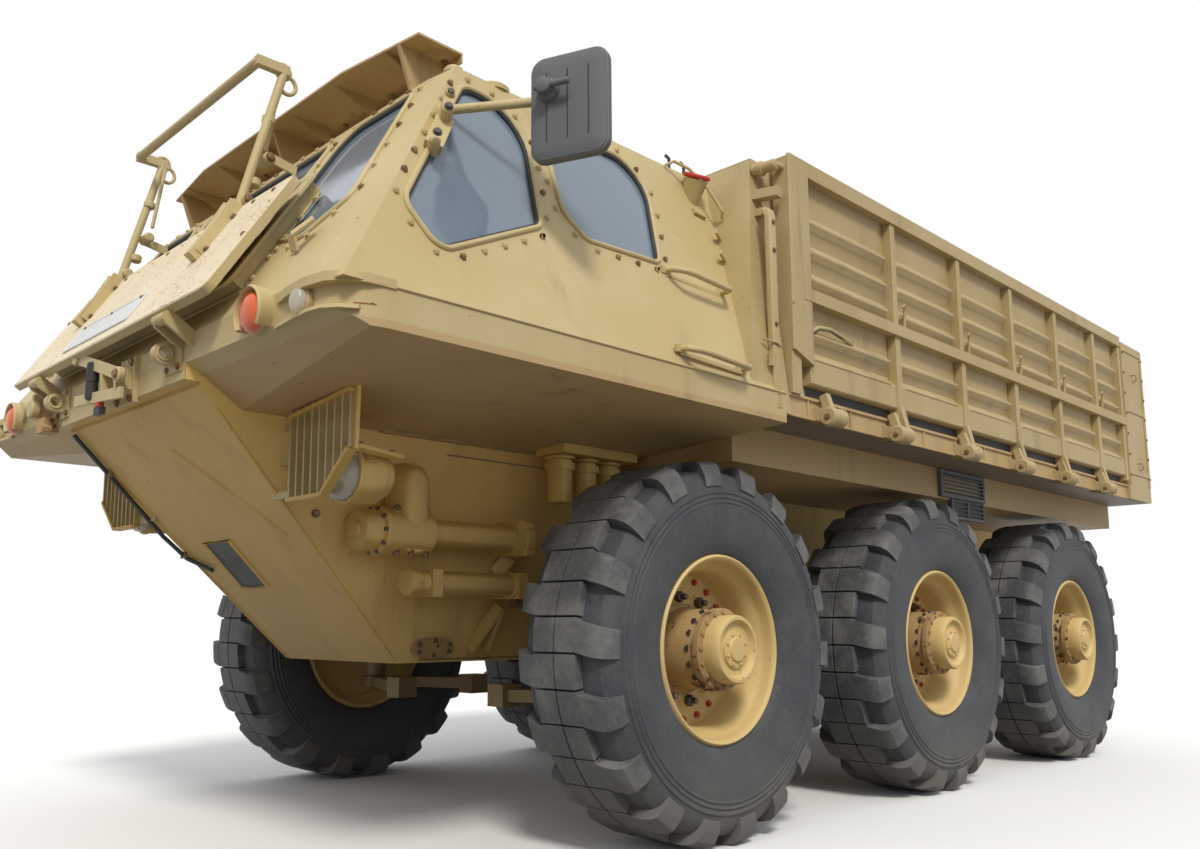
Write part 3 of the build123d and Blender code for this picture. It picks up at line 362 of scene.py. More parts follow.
@dataclass(frozen=True)
class Rubber:
    """Tyre and hose rubber with scuffs and dust."""

    name: str
    colour: Triple
    scuffed: Triple
    dust: Triple = (0.20, 0.18, 0.15)
    rough: float = 0.62
    scuff: float = 0.55

    def build(self) -> Material:
        """Makes the material."""
        material, g, shader = new_material(self.name)
        where = g.position()
        cloud = g.band(g.noise(where, 6.0, 7.0, 0.65), 0.38, 0.72)
        fine = g.band(g.noise(where, 75.0, 6.0, 0.7), 0.45, 0.75)
        colour = g.mix(g.math("MULTIPLY", cloud, self.scuff), self.colour, self.scuffed)
        colour = g.mix(g.math("MULTIPLY", fine, 0.35), colour, self.scuffed)
        low = g.band(g.math("ADD", g.part(where, "Z"), g.math("MULTIPLY", cloud, 0.22)), 0.42, 0.02)
        colour = g.mix(g.math("MULTIPLY", low, 0.45), colour, self.dust)
        grain = g.math("ADD", g.math("MULTIPLY", fine, 0.6), g.noise(where, 260.0, 3.0))
        g.set(shader, Base_Color=colour, Normal=g.bump(0.35, 0.002, grain),
            Roughness=g.math("ADD", g.math("MULTIPLY", cloud, 0.14), self.rough))
        return material


@dataclass(frozen=True)
class Metal:
    """Bare, oiled or rusted metal."""

    name: str
    colour: Triple
    rust: Triple = (0.13, 0.052, 0.022)
    amount: float = 0.4
    metallic: float = 0.7
    rough: float = 0.45

    def build(self) -> Material:
        """Makes the material."""
        material, g, shader = new_material(self.name)
        where = g.position()
        low = 0.72 - 0.35 * self.amount
        mask = g.band(g.noise(where, 24.0, 7.0, 0.68), low, low + 0.09)
        g.set(shader, Base_Color=g.mix(mask, self.colour, self.rust),
            Metallic=g.math("MULTIPLY", g.math("SUBTRACT", 1.0, mask), self.metallic),
            Roughness=g.math("ADD", g.math("MULTIPLY", mask, 0.35), self.rough),
            Normal=g.bump(0.3, 0.002, g.noise(where, 120.0, 4.0)))
        return material


@dataclass(frozen=True)
class Pane:
    """Glass or a lens with a film of dust."""

    name: str
    colour: Triple
    transmission: float = 0.6
    rough: float = 0.06
    film: float = 0.3

    def build(self) -> Material:
        """Makes the material."""
        material, g, shader = new_material(self.name)
        where = g.position()
        film = g.band(g.noise(where, 3.4, 6.0, 0.6), 0.4, 0.75)
        dusty = tuple(0.7 * c + 0.12 for c in self.colour)
        g.set(shader, Base_Color=g.mix(g.math("MULTIPLY", film, self.film), self.colour, dusty),
            Roughness=g.math("ADD", g.math("MULTIPLY", film, 0.08), self.rough),
            Transmission_Weight=self.transmission, IOR=1.5)
        return material


@dataclass(frozen=True)
class Cloth:
    """Woven seat cover with soft wear."""

    name: str
    colour: Triple
    worn: Triple

    def build(self) -> Material:
        """Makes the material."""
        material, g, shader = new_material(self.name)
        where = g.position()
        wear = g.band(g.noise(where, 7.0, 5.0), 0.4, 0.7)
        weave = g.add("TexWave", {"bands_direction": "DIAGONAL"}, Vector=where, Scale=220.0).outputs["Fac"]
        g.set(shader, Base_Color=g.mix(wear, self.colour, self.worn), Roughness=0.9,
            Normal=g.bump(0.4, 0.001, weave))
        return material


SAND = (0.505, 0.398, 0.188)


class Finish(Enum):
    """The truck's finishes."""

    BODY = Paint("sand_body", SAND, (0.575, 0.475, 0.262))
    # The hull's paler side colour is painted light on faces that look sideways, standing in for ground bounce.
    HULL = Paint("sand_hull", (0.60, 0.41, 0.11), (0.64, 0.45, 0.14), painted_side_light=(0.92, 0.67, 0.24), streak=0.4,
        dust=0.45, chip=0.3)
    # The bed's darker colour on faces that look down is painted shade under the load bed.
    BED = Paint("sand_bed", (0.46, 0.325, 0.15), (0.52, 0.38, 0.19), painted_under_shade=(0.15, 0.105, 0.07), streak=0.7,
        dust=0.7, chip=0.4)
    BOARD = Paint("sand_board", (0.43, 0.328, 0.15), (0.50, 0.397, 0.215), streak=0.6, chip=0.45)
    UNDER = Paint("sand_under", (0.46, 0.325, 0.15), (0.52, 0.38, 0.19), streak=0.7, dust=0.7, chip=0.4)
    # The vane's paler, creamier colour is the body's sand paint made lighter: painted light, standing in for
    # sky light on the plate that faces up and forward.
    VANE = Paint("vane_sand_painted_light", (0.72, 0.60, 0.40), (0.80, 0.71, 0.55), streak=0.15, chip=0.95, chip_size=95.0,
        bare=(0.28, 0.2, 0.12))
    SHADE = Paint("sand_shade", (0.47, 0.33, 0.15), (0.40, 0.24, 0.12), streak=0.8, chip=0.6)
    RIM = Paint("sand_rim", (0.74, 0.54, 0.215), (0.78, 0.58, 0.26), streak=0.1, dust=0.25, chip=0.4, waves=0.2)
    HUB = Paint("worn_hub", (0.50, 0.34, 0.14), (0.40, 0.24, 0.10), streak=0.75, dust=0.5, chip=1.0,
        chip_size=17.0, bare=(0.13, 0.058, 0.026), rough=0.7, waves=0.2)
    TYRE = Rubber("tyre_rubber", (0.031, 0.035, 0.042), (0.105, 0.110, 0.118))
    TREAD = Rubber("tread_rubber", (0.062, 0.064, 0.068), (0.20, 0.196, 0.188), scuff=0.85)
    SEAL = Rubber("seal_rubber", (0.018, 0.018, 0.02), (0.05, 0.05, 0.05))
    SHELL = Rubber("mirror_shell", (0.082, 0.084, 0.095), (0.112, 0.115, 0.125), rough=0.5, scuff=0.3)
    NUT = Metal("dark_nut", (0.10, 0.09, 0.08), amount=0.5)
    BOLT = Metal("body_bolt", (0.27, 0.19, 0.095), (0.19, 0.10, 0.048), amount=0.8, metallic=0.15)
    STEEL = Metal("worn_steel", (0.33, 0.32, 0.30), amount=0.3)
    IRON = Metal("engine_iron", (0.17, 0.18, 0.17), amount=0.6, metallic=0.4)
    RED = Paint("red_paint", (0.50, 0.03, 0.02), (0.42, 0.05, 0.03), chip=0.6, streak=0.0, dust=0.2)
    DASH = Paint("dark_cab_paint", (0.075, 0.085, 0.085), (0.11, 0.12, 0.12), chip=0.2, dust=0.0)
    GLASS = Pane("window_glass", (0.40, 0.50, 0.62), transmission=0.62)
    AMBER = Pane("amber_lens", (0.82, 0.15, 0.035), transmission=0.12, rough=0.22, film=0.12)
    CLEAR = Pane("clear_lens", (0.85, 0.86, 0.86), transmission=0.7, rough=0.08)
    REDLENS = Pane("red_lens", (0.45, 0.01, 0.01), transmission=0.3, rough=0.15)
    PLATE = Paint("blank_plate", (0.60, 0.62, 0.62), (0.68, 0.69, 0.68), streak=0.2, chip=0.3)
    SEAT = Cloth("seat_cover", (0.035, 0.040, 0.035), (0.075, 0.08, 0.07))

    def material(self) -> Material:
        """The finish's material, built the first time it is asked for."""
        return bpy.data.materials.get(self.value.name) or self.value.build()


# ---------------------------------------------------------------- mesh kit


def circle(middle: Vector, axis: Vector, radius: float, steps: int, start: float = 0) -> list[Vector]:
    """Evenly spaced points of a circle about an axis.

    Args:
        middle: The circle's middle.
        axis: The line that it goes round.
        radius: Its radius in millimetres.
        steps: How many points it has.
        start: Angle of the first point.

    Returns:
        The points.
    """
    axis = axis.normalized()
    first = axis.orthogonal().normalized()
    if abs(axis.y) > 0.9:
        first = UP
    second = axis.cross(first)
    angles = [start + TURN * k / steps for k in range(steps)]
    return [middle + radius * MM * (math.cos(a) * first + math.sin(a) * second) for a in angles]


class Shape:
    """Collects mesh parts, each in the finish painted last, into one piece.

    A place is a Vector, or millimetres as in spot with left read as out towards the shape's side.
    A direction is a Vector, or numbers that are mirrored the same way. Lengths are in millimetres.
    """

    def __init__(self, finish: Finish, sign: int = 1) -> None:
        """Starts an empty mesh in a finish, for the right side where sign is -1."""
        self.mesh = bmesh.new()
        self.finishes = [finish]
        self.index = 0
        self.sign = sign

    def at(self, place: Place) -> Vector:
        """The point that a place stands for."""
        return place if isinstance(place, Vector) else spot(place[0], self.sign * place[1], place[2])

    def way(self, direction: Place) -> Vector:
        """The vector that a direction stands for."""
        x, y, z = direction
        return direction if isinstance(direction, Vector) else Vector((x, self.sign * y, z))

    def paint(self, finish: Finish) -> Shape:
        """Sets the finish of the parts that follow."""
        if finish not in self.finishes:
            self.finishes.append(finish)
        self.index = self.finishes.index(finish)
        return self

    def loft(self, rings: Sequence[Sequence[Place]], closed: bool = False, caps: bool = True,
            open_section: bool = False) -> Shape:
        """Skins a run of sections that have as many points each.

        Args:
            rings: The sections in order.
            closed: Whether the last section joins the first.
            caps: Whether the two ends are filled.
            open_section: Whether each section is an open line.

        Returns:
            This shape.
        """
        made = [[self.mesh.verts.new(self.at(place)) for place in ring] for ring in rings]
        count = len(made[0])
        for low, high in zip(made, made[1:] + made[:closed]):
            for k in range(count - 1 if open_section else count):
                after = (k + 1) % count
                self._face((low[k], low[after], high[after], high[k]))
        if caps and not closed:
            self._face(tuple(reversed(made[0])))
            self._face(tuple(made[-1]))
        return self

    def _face(self, corners: Sequence[bmesh.types.BMVert]) -> None:
        """Adds one face in the current finish."""
        self.mesh.faces.new(corners).material_index = self.index

    def shell(self, outline: Outline, seat: Seat, steps: Profile, arc: int = 4, closed: bool = False,
            caps: bool = True) -> Shape:
        """Skins copies of an outline.

        Args:
            outline: The outline.
            seat: Gives the place of a point of it at a height.
            steps: How far each copy is grown, and its height.
            arc: Points in each rounded corner, less one.
            closed: Whether the last copy joins the first.
            caps: Whether the two ends are filled.

        Returns:
            This shape.
        """
        rings = [[seat(u, v, lift) for u, v in outline.path(grow, arc)] for grow, lift in steps]
        return self.loft(rings, closed, caps)

    def turn(self, profile: Profile, origin: Place, axis: Place, steps: int = 32, closed: bool = False,
            start: float = 0) -> Shape:
        """Turns a profile about an axis.

        Args:
            profile: Its (radius, height) points.
            origin: Where its height is 0.
            axis: The direction of its height.
            steps: Points in each ring.
            closed: Whether the last ring joins the first.
            start: Angle of each ring's first point.

        Returns:
            This shape.
        """
        foot, axis = self.at(origin), self.way(axis).normalized()
        rings = [circle(foot + axis * (h * MM), axis, max(r, 0.1), steps, start) for r, h in profile]
        return self.loft(rings, closed)

    def collar(self, origin: Place, axis: Place, radius: float, length: float, soft: float | Pair,
            steps: int) -> Shape:
        """A drum with both ends rounded.

        Args:
            origin: Middle of its first end.
            axis: The direction of its length.
            radius: Its radius.
            length: Its length.
            soft: How much smaller its ends are and how far along, or one number for both.
            steps: Points in each ring.

        Returns:
            This shape.
        """
        less, run = soft if isinstance(soft, tuple) else (soft, soft)
        profile = [(radius - less, 0), (radius, run), (radius, length - run), (radius - less, length)]
        return self.turn(profile, origin, axis, steps)

    def rod(self, start: Place, end: Place, radius: float, steps: int = 12) -> Shape:
        """A round bar between two places, its ends slightly rounded."""
        start, end = self.at(start), self.at(end)
        length = (end - start).length / MM
        return self.collar(start, end - start, radius, length, min(radius * 0.25, length * 0.2), steps)

    def tube(self, path: Sequence[Place], radius: float, steps: int = 8, closed: bool = False) -> Shape:
        """A round bar that follows a path.

        Args:
            path: The places that it goes through.
            radius: Its radius.
            steps: Points in each section.
            closed: Whether its end joins its start.

        Returns:
            This shape.
        """
        points = [self.at(place) for place in path]
        rings = []
        side = None
        for k, point in enumerate(points):
            before = points[k - 1] if closed or k else point
            after = points[(k + 1) % len(points)] if closed or k < len(points) - 1 else point
            along = (after - before).normalized()
            side = along.orthogonal() if side is None else side - along * side.dot(along)
            side.normalize()
            across = along.cross(side)
            angles = [TURN * n / steps for n in range(steps)]
            rings.append([point + radius * MM * (math.cos(a) * side + math.sin(a) * across) for a in angles])
        return self.loft(rings, closed)

    def beam(self, start: Place, end: Place, width: float, depth: float, up: Place = UP) -> Shape:
        """A flat bar between two places, its depth along up."""
        start, end = self.at(start), self.at(end)
        along = (end - start).normalized()
        side = along.cross(self.way(up)).normalized() * (width * MM / 2)
        rise = side.cross(along).normalized() * (depth * MM / 2)
        section = (side + rise, rise - side, -side - rise, side - rise)
        return self.loft([[start + s for s in section], [end + s for s in section]])

    def block(self, corner: Place, other: Place) -> Shape:
        """An upright box between two opposite corners."""
        (x0, y0, z0), (x1, y1, z1) = self.at(corner), self.at(other)
        return self.loft([[Vector(p) for p in ((x0, y0, z), (x1, y0, z), (x1, y1, z), (x0, y1, z))]
            for z in (z0, z1)])

    def plate(self, outline: Sequence[Place], thickness: Place) -> Shape:
        """A flat plate of any outline, its thickness a direction in millimetres."""
        points = [self.at(place) for place in outline]
        return self.loft([points, [point + self.way(thickness) * MM for point in points]])

    def bolt(self, foot: Place, normal: Place, radius: float, height: float = 0, spin: float = 0) -> Shape:
        """A six-sided bolt head on a washer.

        Args:
            foot: Where it stands.
            normal: The direction that it stands in.
            radius: The head's radius.
            height: Its height, or 0 for four fifths of the radius.
            spin: Angle of the head.

        Returns:
            This shape.
        """
        height = height or radius * 0.8
        self.turn([(radius * 1.35, 0), (radius * 1.35, height * 0.2)], foot, normal, 12)
        head = [(radius, height * 0.2), (radius, height * 0.85), (radius * 0.8, height)]
        return self.turn(head, foot, normal, 6, start=spin)

    def piece(self, name: str, body: str = "hull", slot: str = "sand_paint", bevel: float = 0,
            sharp: float = 35) -> Piece:
        """Turns the collected parts into a piece that rides on a body.

        Args:
            name: The piece's name.
            body: The CAD body that carries it.
            slot: A material slot name; not used.
            bevel: Width of its rounded edges.
            sharp: Edges above this angle in degrees stay sharp.

        Returns:
            The new object.
        """
        data = bpy.data.meshes.new(name)
        bmesh.ops.recalc_face_normals(self.mesh, faces=self.mesh.faces)
        self.mesh.to_mesh(data)
        self.mesh.free()
        for finish in self.finishes:
            data.materials.append(finish.material())
        data.shade_smooth()
        data.set_sharp_from_angle(angle=math.radians(sharp))
        piece = show(name, data)
        if bevel:
            soft = piece.modifiers.new("soft edges", "BEVEL")
            soft.width = bevel * MM
            soft.segments = 2
            soft.limit_method = "ANGLE"
            soft.angle_limit = math.radians(sharp)
            soft.harden_normals = True
        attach(piece, body)
        return piece


@dataclass(frozen=True)
class Face:
    """A flat face of the cab, on which places are given as (across, up) in millimetres.

    Attributes:
        toe: How far out the face stands at the reference height.
        height: The reference height.
        lean: How far it leans in for each unit of rise.
        side: 1 for left, -1 for right, 0 for the front.
    """

    toe: float
    height: float
    lean: float
    side: int = 0

    def normal(self) -> Vector:
        """Outward direction."""
        out = Vector((0, self.side, self.lean)) if self.side else Vector((1, 0, self.lean))
        return out.normalized()

    def at(self, along: float, up: float, lift: float = 0) -> Vector:
        """A point of the face, lifted off it by some millimetres."""
        out = self.toe - (up - self.height) * self.lean
        foot = spot(along, self.side * out, up) if self.side else spot(out, along, up)
        return foot + self.normal() * lift * MM


FRONT = Face(1557, 1450, 0.65)
FLANKS = {side: Face(1308, 1460, 0.362, sign) for side, sign in SIDES.items()}


@dataclass(frozen=True)
class Outline:
    """A closed outline of (across, up, corner radius) points."""

    corners: tuple[Triple, ...]

    @classmethod
    def box(cls, left: float, low: float, right: float, high: float, radius: float,
            high_radius: float | None = None) -> Outline:
        """A rounded rectangle.

        Args:
            left: Its first edge across.
            low: Its lower edge.
            right: Its other edge across.
            high: Its upper edge.
            radius: Radius of its corners.
            high_radius: Radius of the upper ones, if it is another.

        Returns:
            The outline.
        """
        top = radius if high_radius is None else high_radius
        return cls(((left, low, radius), (right, low, radius), (right, high, top), (left, high, top)))

    def flipped(self) -> Outline:
        """The outline mirrored across."""
        return Outline(tuple((-u, v, r) for u, v, r in reversed(self.corners)))

    def path(self, grow: float = 0, arc: int = 6) -> list[Pair]:
        """Rounds the outline's corners.

        Args:
            grow: How far it is grown outward first.
            arc: Points in each corner, less one.

        Returns:
            Its points.
        """
        points = [Vector((u, v)) for u, v, _ in self.corners]
        area = sum(before.cross(point) for before, point in zip([points[-1], *points], points))
        turn = 1 if area > 0 else -1
        grown = []
        for before, point, after in zip([points[-1], *points], points, [*points[1:], points[0]]):
            into, away = (point - before).normalized(), (after - point).normalized()
            out_a = Vector((into.y, -into.x)) * turn
            out_b = Vector((away.y, -away.x)) * turn
            grown.append(point + (out_a + out_b) * (grow / (1 + out_a.dot(out_b))))
        line = []
        for k, middle in enumerate(grown):
            back = (grown[k - 1] - middle).normalized()
            on = (grown[(k + 1) % len(grown)] - middle).normalized()
            half = back.angle(on) / 2
            radius = max(self.corners[k][2] + grow, 1)
            reach = radius / math.tan(half)
            start, end = middle + back * reach, middle + on * reach
            centre = middle + (back + on).normalized() * (radius / math.sin(half))
            for n in range(arc + 1):
                spoke = (start - centre).lerp(end - centre, n / arc).normalized()
                line.append(tuple(centre + spoke * radius))
        return line

    def spaced(self, grow: float, pitch: float) -> list[Pair]:
        """Evenly spaced places along the outline.

        Args:
            grow: How far it is grown outward first.
            pitch: About how far apart they are.

        Returns:
            The places.
        """
        line = [Vector(p) for p in self.path(grow, 10)]
        line.append(line[0])
        total = sum((b - a).length for a, b in zip(line, line[1:]))
        step = total / max(round(total / pitch), 1)
        places, left = [], 0
        for a, b in zip(line, line[1:]):
            run = (b - a).length
            while left < run:
                places.append(tuple(a.lerp(b, left / run)))
                left += step
            left -= run
        return places


def show(name: str, data: bpy.types.ID) -> Piece:
    """Puts a mesh, lamp or camera into the scene."""
    made = bpy.data.objects.new(name, data)
    bpy.context.collection.objects.link(made)
    return made


def dress(node: str, finish: Finish) -> None:
    """Gives a CAD node one finish."""
    data = frame["nodes"][node].data
    data.materials.clear()
    data.materials.append(finish.material())
    for face in data.polygons:
        face.material_index = 0


# ---------------------------------------------------------------- tyres and wheels


def around(radius: float, angle: float) -> Vector:
    """A place on a circle in the plane of a wheel, from its middle."""
    return Vector((math.cos(angle), 0, math.sin(angle))) * (radius * MM)


@dataclass
class Tyre:
    """A cross-country tyre with open shoulder lugs and a blocked middle band."""

    radius: float = 615
    base_radius: float = 586
    lugs: int = 18
    band: float = 88
    tread_half: float = 162
    shoulder_half: float = 184
    shoulder_radius: float = 548
    bead_radius: float = 302
    groove: float = 6
    lug_share: float = 0.44
    trail: float = 0.00035
    slab_steps: int = 4

    def build(self, axle: str, side: str) -> Piece:
        """Builds one tyre on its wheel.

        Args:
            axle: Name of the axle.
            side: left or right.

        Returns:
            The tyre.
        """
        node = f"tyre_{axle}_{side}"
        middle = node_middle(node)
        shape = Shape(Finish.TYRE)
        self._carcass(shape, middle)
        shape.paint(Finish.TREAD)
        for sign, offset in ((1, 0), (-1, 0.5)):
            for k in range(self.lugs):
                self._lug(shape, middle, sign, TURN * (k + offset) / self.lugs)
        tyre = shape.piece(f"tread_{axle}_{side}", f"wheel_{axle}_{side}", "tyre", bevel=3, sharp=28)
        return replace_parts(tyre, node)

    def _carcass(self, shape: Shape, middle: Vector) -> None:
        """The casing, its bead, bulging sidewalls and moulded ribs."""
        half = [(self.bead_radius - 12, 118), (self.bead_radius, 136), (self.bead_radius + 6, 146), (318, 157),
            (345, 169), (375, 178), (410, 184), (445, 187), (468, 186.5), (470.5, 189.5), (475, 189.5),
            (477.5, 186), (484, 185.5), (486.5, 189), (491, 189), (493.5, 185), (500, 184.5), (502.5, 188),
            (510, 187.5), (513, 182), (535, 177), (556, 168), (574, 150), (583, 120), (self.base_radius, 80),
            (self.base_radius + 1, 0)]
        shape.turn(half + [(r, -y) for r, y in reversed(half[:-1])], middle, ACROSS, 96, closed=True)

    def _slab(self, shape: Shape, middle: Vector, section: Profile, start: float, width: float,
            trail: float = 0) -> None:
        """A block of tread that follows the tyre round.

        Args:
            shape: The shape that gets it.
            middle: The tyre's middle.
            section: Its (across, radius) outline.
            start: Angle where it starts.
            width: Angle that it spans.
            trail: Angle that its shoulder trails by for each millimetre.
        """
        rings = []
        for n in range(self.slab_steps + 1):
            turn = start + width * n / self.slab_steps
            rings.append([middle + ACROSS * (across * MM) + around(radius,
                turn + trail * max(abs(across) - self.band, 0)) for across, radius in section])
        shape.loft(rings)

    def _lug(self, shape: Shape, middle: Vector, sign: int, start: float) -> None:
        """One shoulder lug and the two middle blocks of its stretch.

        Args:
            shape: The shape that gets them.
            middle: The tyre's middle.
            sign: The side of the tread.
            start: Angle where the lug starts.
        """
        pitch = TURN / self.lugs
        sunk = self.base_radius - 10
        half, shoulder = self.shoulder_half, self.shoulder_radius
        lug = [(self.band, self.radius), (125, self.radius - 1), (self.tread_half - 8, self.radius - 7),
            (self.tread_half + 8, self.radius - 20), (half, shoulder + 10), (half + 1, shoulder - 22),
            (176, shoulder - 24), (170, shoulder - 12), (158, sunk - 30), (145, sunk - 16), (120, sunk - 4),
            (self.band, sunk)]
        self._slab(shape, middle, [(sign * a, r) for a, r in lug], start, pitch * self.lug_share,
            -sign * self.trail)
        near, far, top = sign * self.groove / 2, sign * self.band, self.radius - 1
        for begin in (start, start + pitch / 2):
            self._slab(shape, middle, [(near, top), (far, top), (far, sunk), (near, sunk)], begin,
                pitch / 2 - self.groove / self.radius)


@dataclass
class Wheel:
    """A dished rim with its nuts, clamp bolts and long hub."""

    disc: float = -20
    nuts: int = 10
    nut_circle: float = 172
    clamp_bolts: int = 20
    clamp_circle: float = 232
    hub_studs: int = 16
    cap_bolts: int = 8

    def build(self, axle: str, side: str) -> list[Piece]:
        """Builds the rim and the hub of one wheel.

        Args:
            axle: Name of the axle.
            side: left or right.

        Returns:
            The rim and the hub.
        """
        place = f"{axle}_{side}"
        self.middle = node_middle(f"tyre_{place}")
        self.out = ACROSS * SIDES[side]
        made = (("rim", self._rim()), ("hub", self._hub(Random(f"{axle}{side}"))))
        return [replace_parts(shape.piece(f"wheel_{name}_{place}", f"wheel_{place}", sharp=40), f"rim_{place}")
            for name, shape in made]

    def _rim(self) -> Shape:
        """The rolled flanges, the well between them and the disc."""
        shape = Shape(Finish.RIM)
        outer = [(236, -20), (247, -12), (252, 6), (253, 60), (262, 88), (276, 104), (283, 118), (285, 140),
            (290, 150), (298, 154), (304, 150), (307, 141), (303, 132), (296, 128), (292, 110), (272, 92),
            (262, 70), (262, -80), (292, -110), (296, -128), (303, -132), (307, -141), (304, -150), (298, -154),
            (288, -150), (284, -118), (250, -85), (250, -45), (60, -45), (60, -20)]
        shape.turn(outer, self.middle, self.out, 72, closed=True)
        for k in range(self.clamp_bolts):
            angle = TURN * k / self.clamp_bolts
            shape.paint(Finish.RED).bolt(self._on(self.clamp_circle, angle, self.disc), self.out, 9.5, 12,
                angle)
        for k in range(self.nuts):
            foot = self._on(self.nut_circle, TURN * (k + 0.3) / self.nuts, self.disc)
            shape.paint(Finish.RIM).turn([(27, 0), (24, 4)], foot, self.out, 16)
            shape.paint(Finish.NUT).turn([(19, 4), (19, 24), (16, 27)], foot, self.out, 6)
            shape.turn([(10, 27), (10, 44), (8, 46)], foot, self.out, 10)
        return shape

    def _hub(self, rng: Random) -> Shape:
        """The hub barrel, its ring of studs and the cap."""
        shape = Shape(Finish.HUB)
        barrel = [(150, -20), (150, -10), (136, -6), (130, 20), (128, 100), (120, 112), (119, 126), (132, 131),
            (132, 150), (122, 153), (108, 154)]
        shape.turn(barrel, self.middle, self.out, 48)
        for k in range(self.hub_studs):
            angle = TURN * (k + rng.random() * 0.1) / self.hub_studs
            shape.paint(Finish.NUT).bolt(self._on(126, angle, 108), -self.out, 8, 10, angle)
            shape.paint(Finish.HUB).bolt(self._on(119, angle, 150), self.out, 8, 9, angle)
        cap = [(108, 150), (110, 176), (109, 206), (104, 213), (94, 213), (90, 207), (82, 196), (60, 194),
            (58, 203), (40, 206), (36, 212), (12, 213.5)]
        shape.paint(Finish.RIM).turn(cap, self.middle, self.out, 48)
        for k in range(self.cap_bolts):
            angle = TURN * (k + 0.5) / self.cap_bolts
            shape.bolt(self._on(49, angle, 204), self.out, 5, 6, angle)
        return shape

    def _on(self, radius: float, angle: float, along: float) -> Vector:
        """A place on the wheel, out from its middle and along its axis."""
        return self.middle + around(radius, angle) + self.out * (along * MM)


# ---------------------------------------------------------------- cab


@dataclass
class WindowTrim:
    """Beads, seals and bolts round the cab's windows."""

    bead_radius: float = 8
    bolt_grow: float = 34
    bolt_pitch: float = 92
    painted_share: float = 0.6
    front_pane: Outline = Outline(((540, 1800, 45), (525, 2245, 90), (872, 2245, 40), (1010, 1800, 30),
        (870, 1712, 40)))
    middle_pane: Outline = Outline(((-440, 1800, 45), (-440, 2240, 45), (440, 2240, 45), (440, 1800, 45)))
    side_front_pane: Outline = Outline(((818, 1812, 40), (755, 2240, 150), (986, 2225, 60), (1303, 1735, 55),
        (1225, 1615, 55)))
    side_rear_pane: Outline = Outline(((290, 1838, 35), (200, 2230, 130), (685, 2230, 45), (698, 1900, 60),
        (628, 1825, 45)))

    def build(self) -> list[Piece]:
        """Builds the trim of every window."""
        panes = [(FRONT, self.front_pane, "windscreen_left"),
            (FRONT, self.front_pane.flipped(), "windscreen_right"),
            (FRONT, self.middle_pane, "windscreen_middle")]
        for side, face in FLANKS.items():
            panes += [(face, self.side_front_pane, f"side_front_{side}"),
                (face, self.side_rear_pane, f"side_rear_{side}")]
        return [self._trim(*pane) for pane in panes]

    def _trim(self, face: Face, outline: Outline, name: str) -> Piece:
        """Bead, seal and bolts of one window.

        Args:
            face: The face that it is in.
            outline: The pane's outline.
            name: The window's name.

        Returns:
            The trim.
        """
        shape = Shape(Finish.BODY)
        for finish, grow, lift in ((Finish.BODY, 4, 2), (Finish.SEAL, -3, -5)):
            line = [face.at(u, v, lift) for u, v in outline.path(grow, 8)]
            shape.paint(finish).tube(line, self.bead_radius, 8, closed=True)
        rng = Random(name)
        for u, v in outline.spaced(self.bolt_grow, self.bolt_pitch):
            shape.paint(Finish.BODY if rng.random() < self.painted_share else Finish.BOLT)
            shape.bolt(face.at(u, v), face.normal(), 8.5, 9, rng.random())
        return shape.piece(f"trim_{name}")


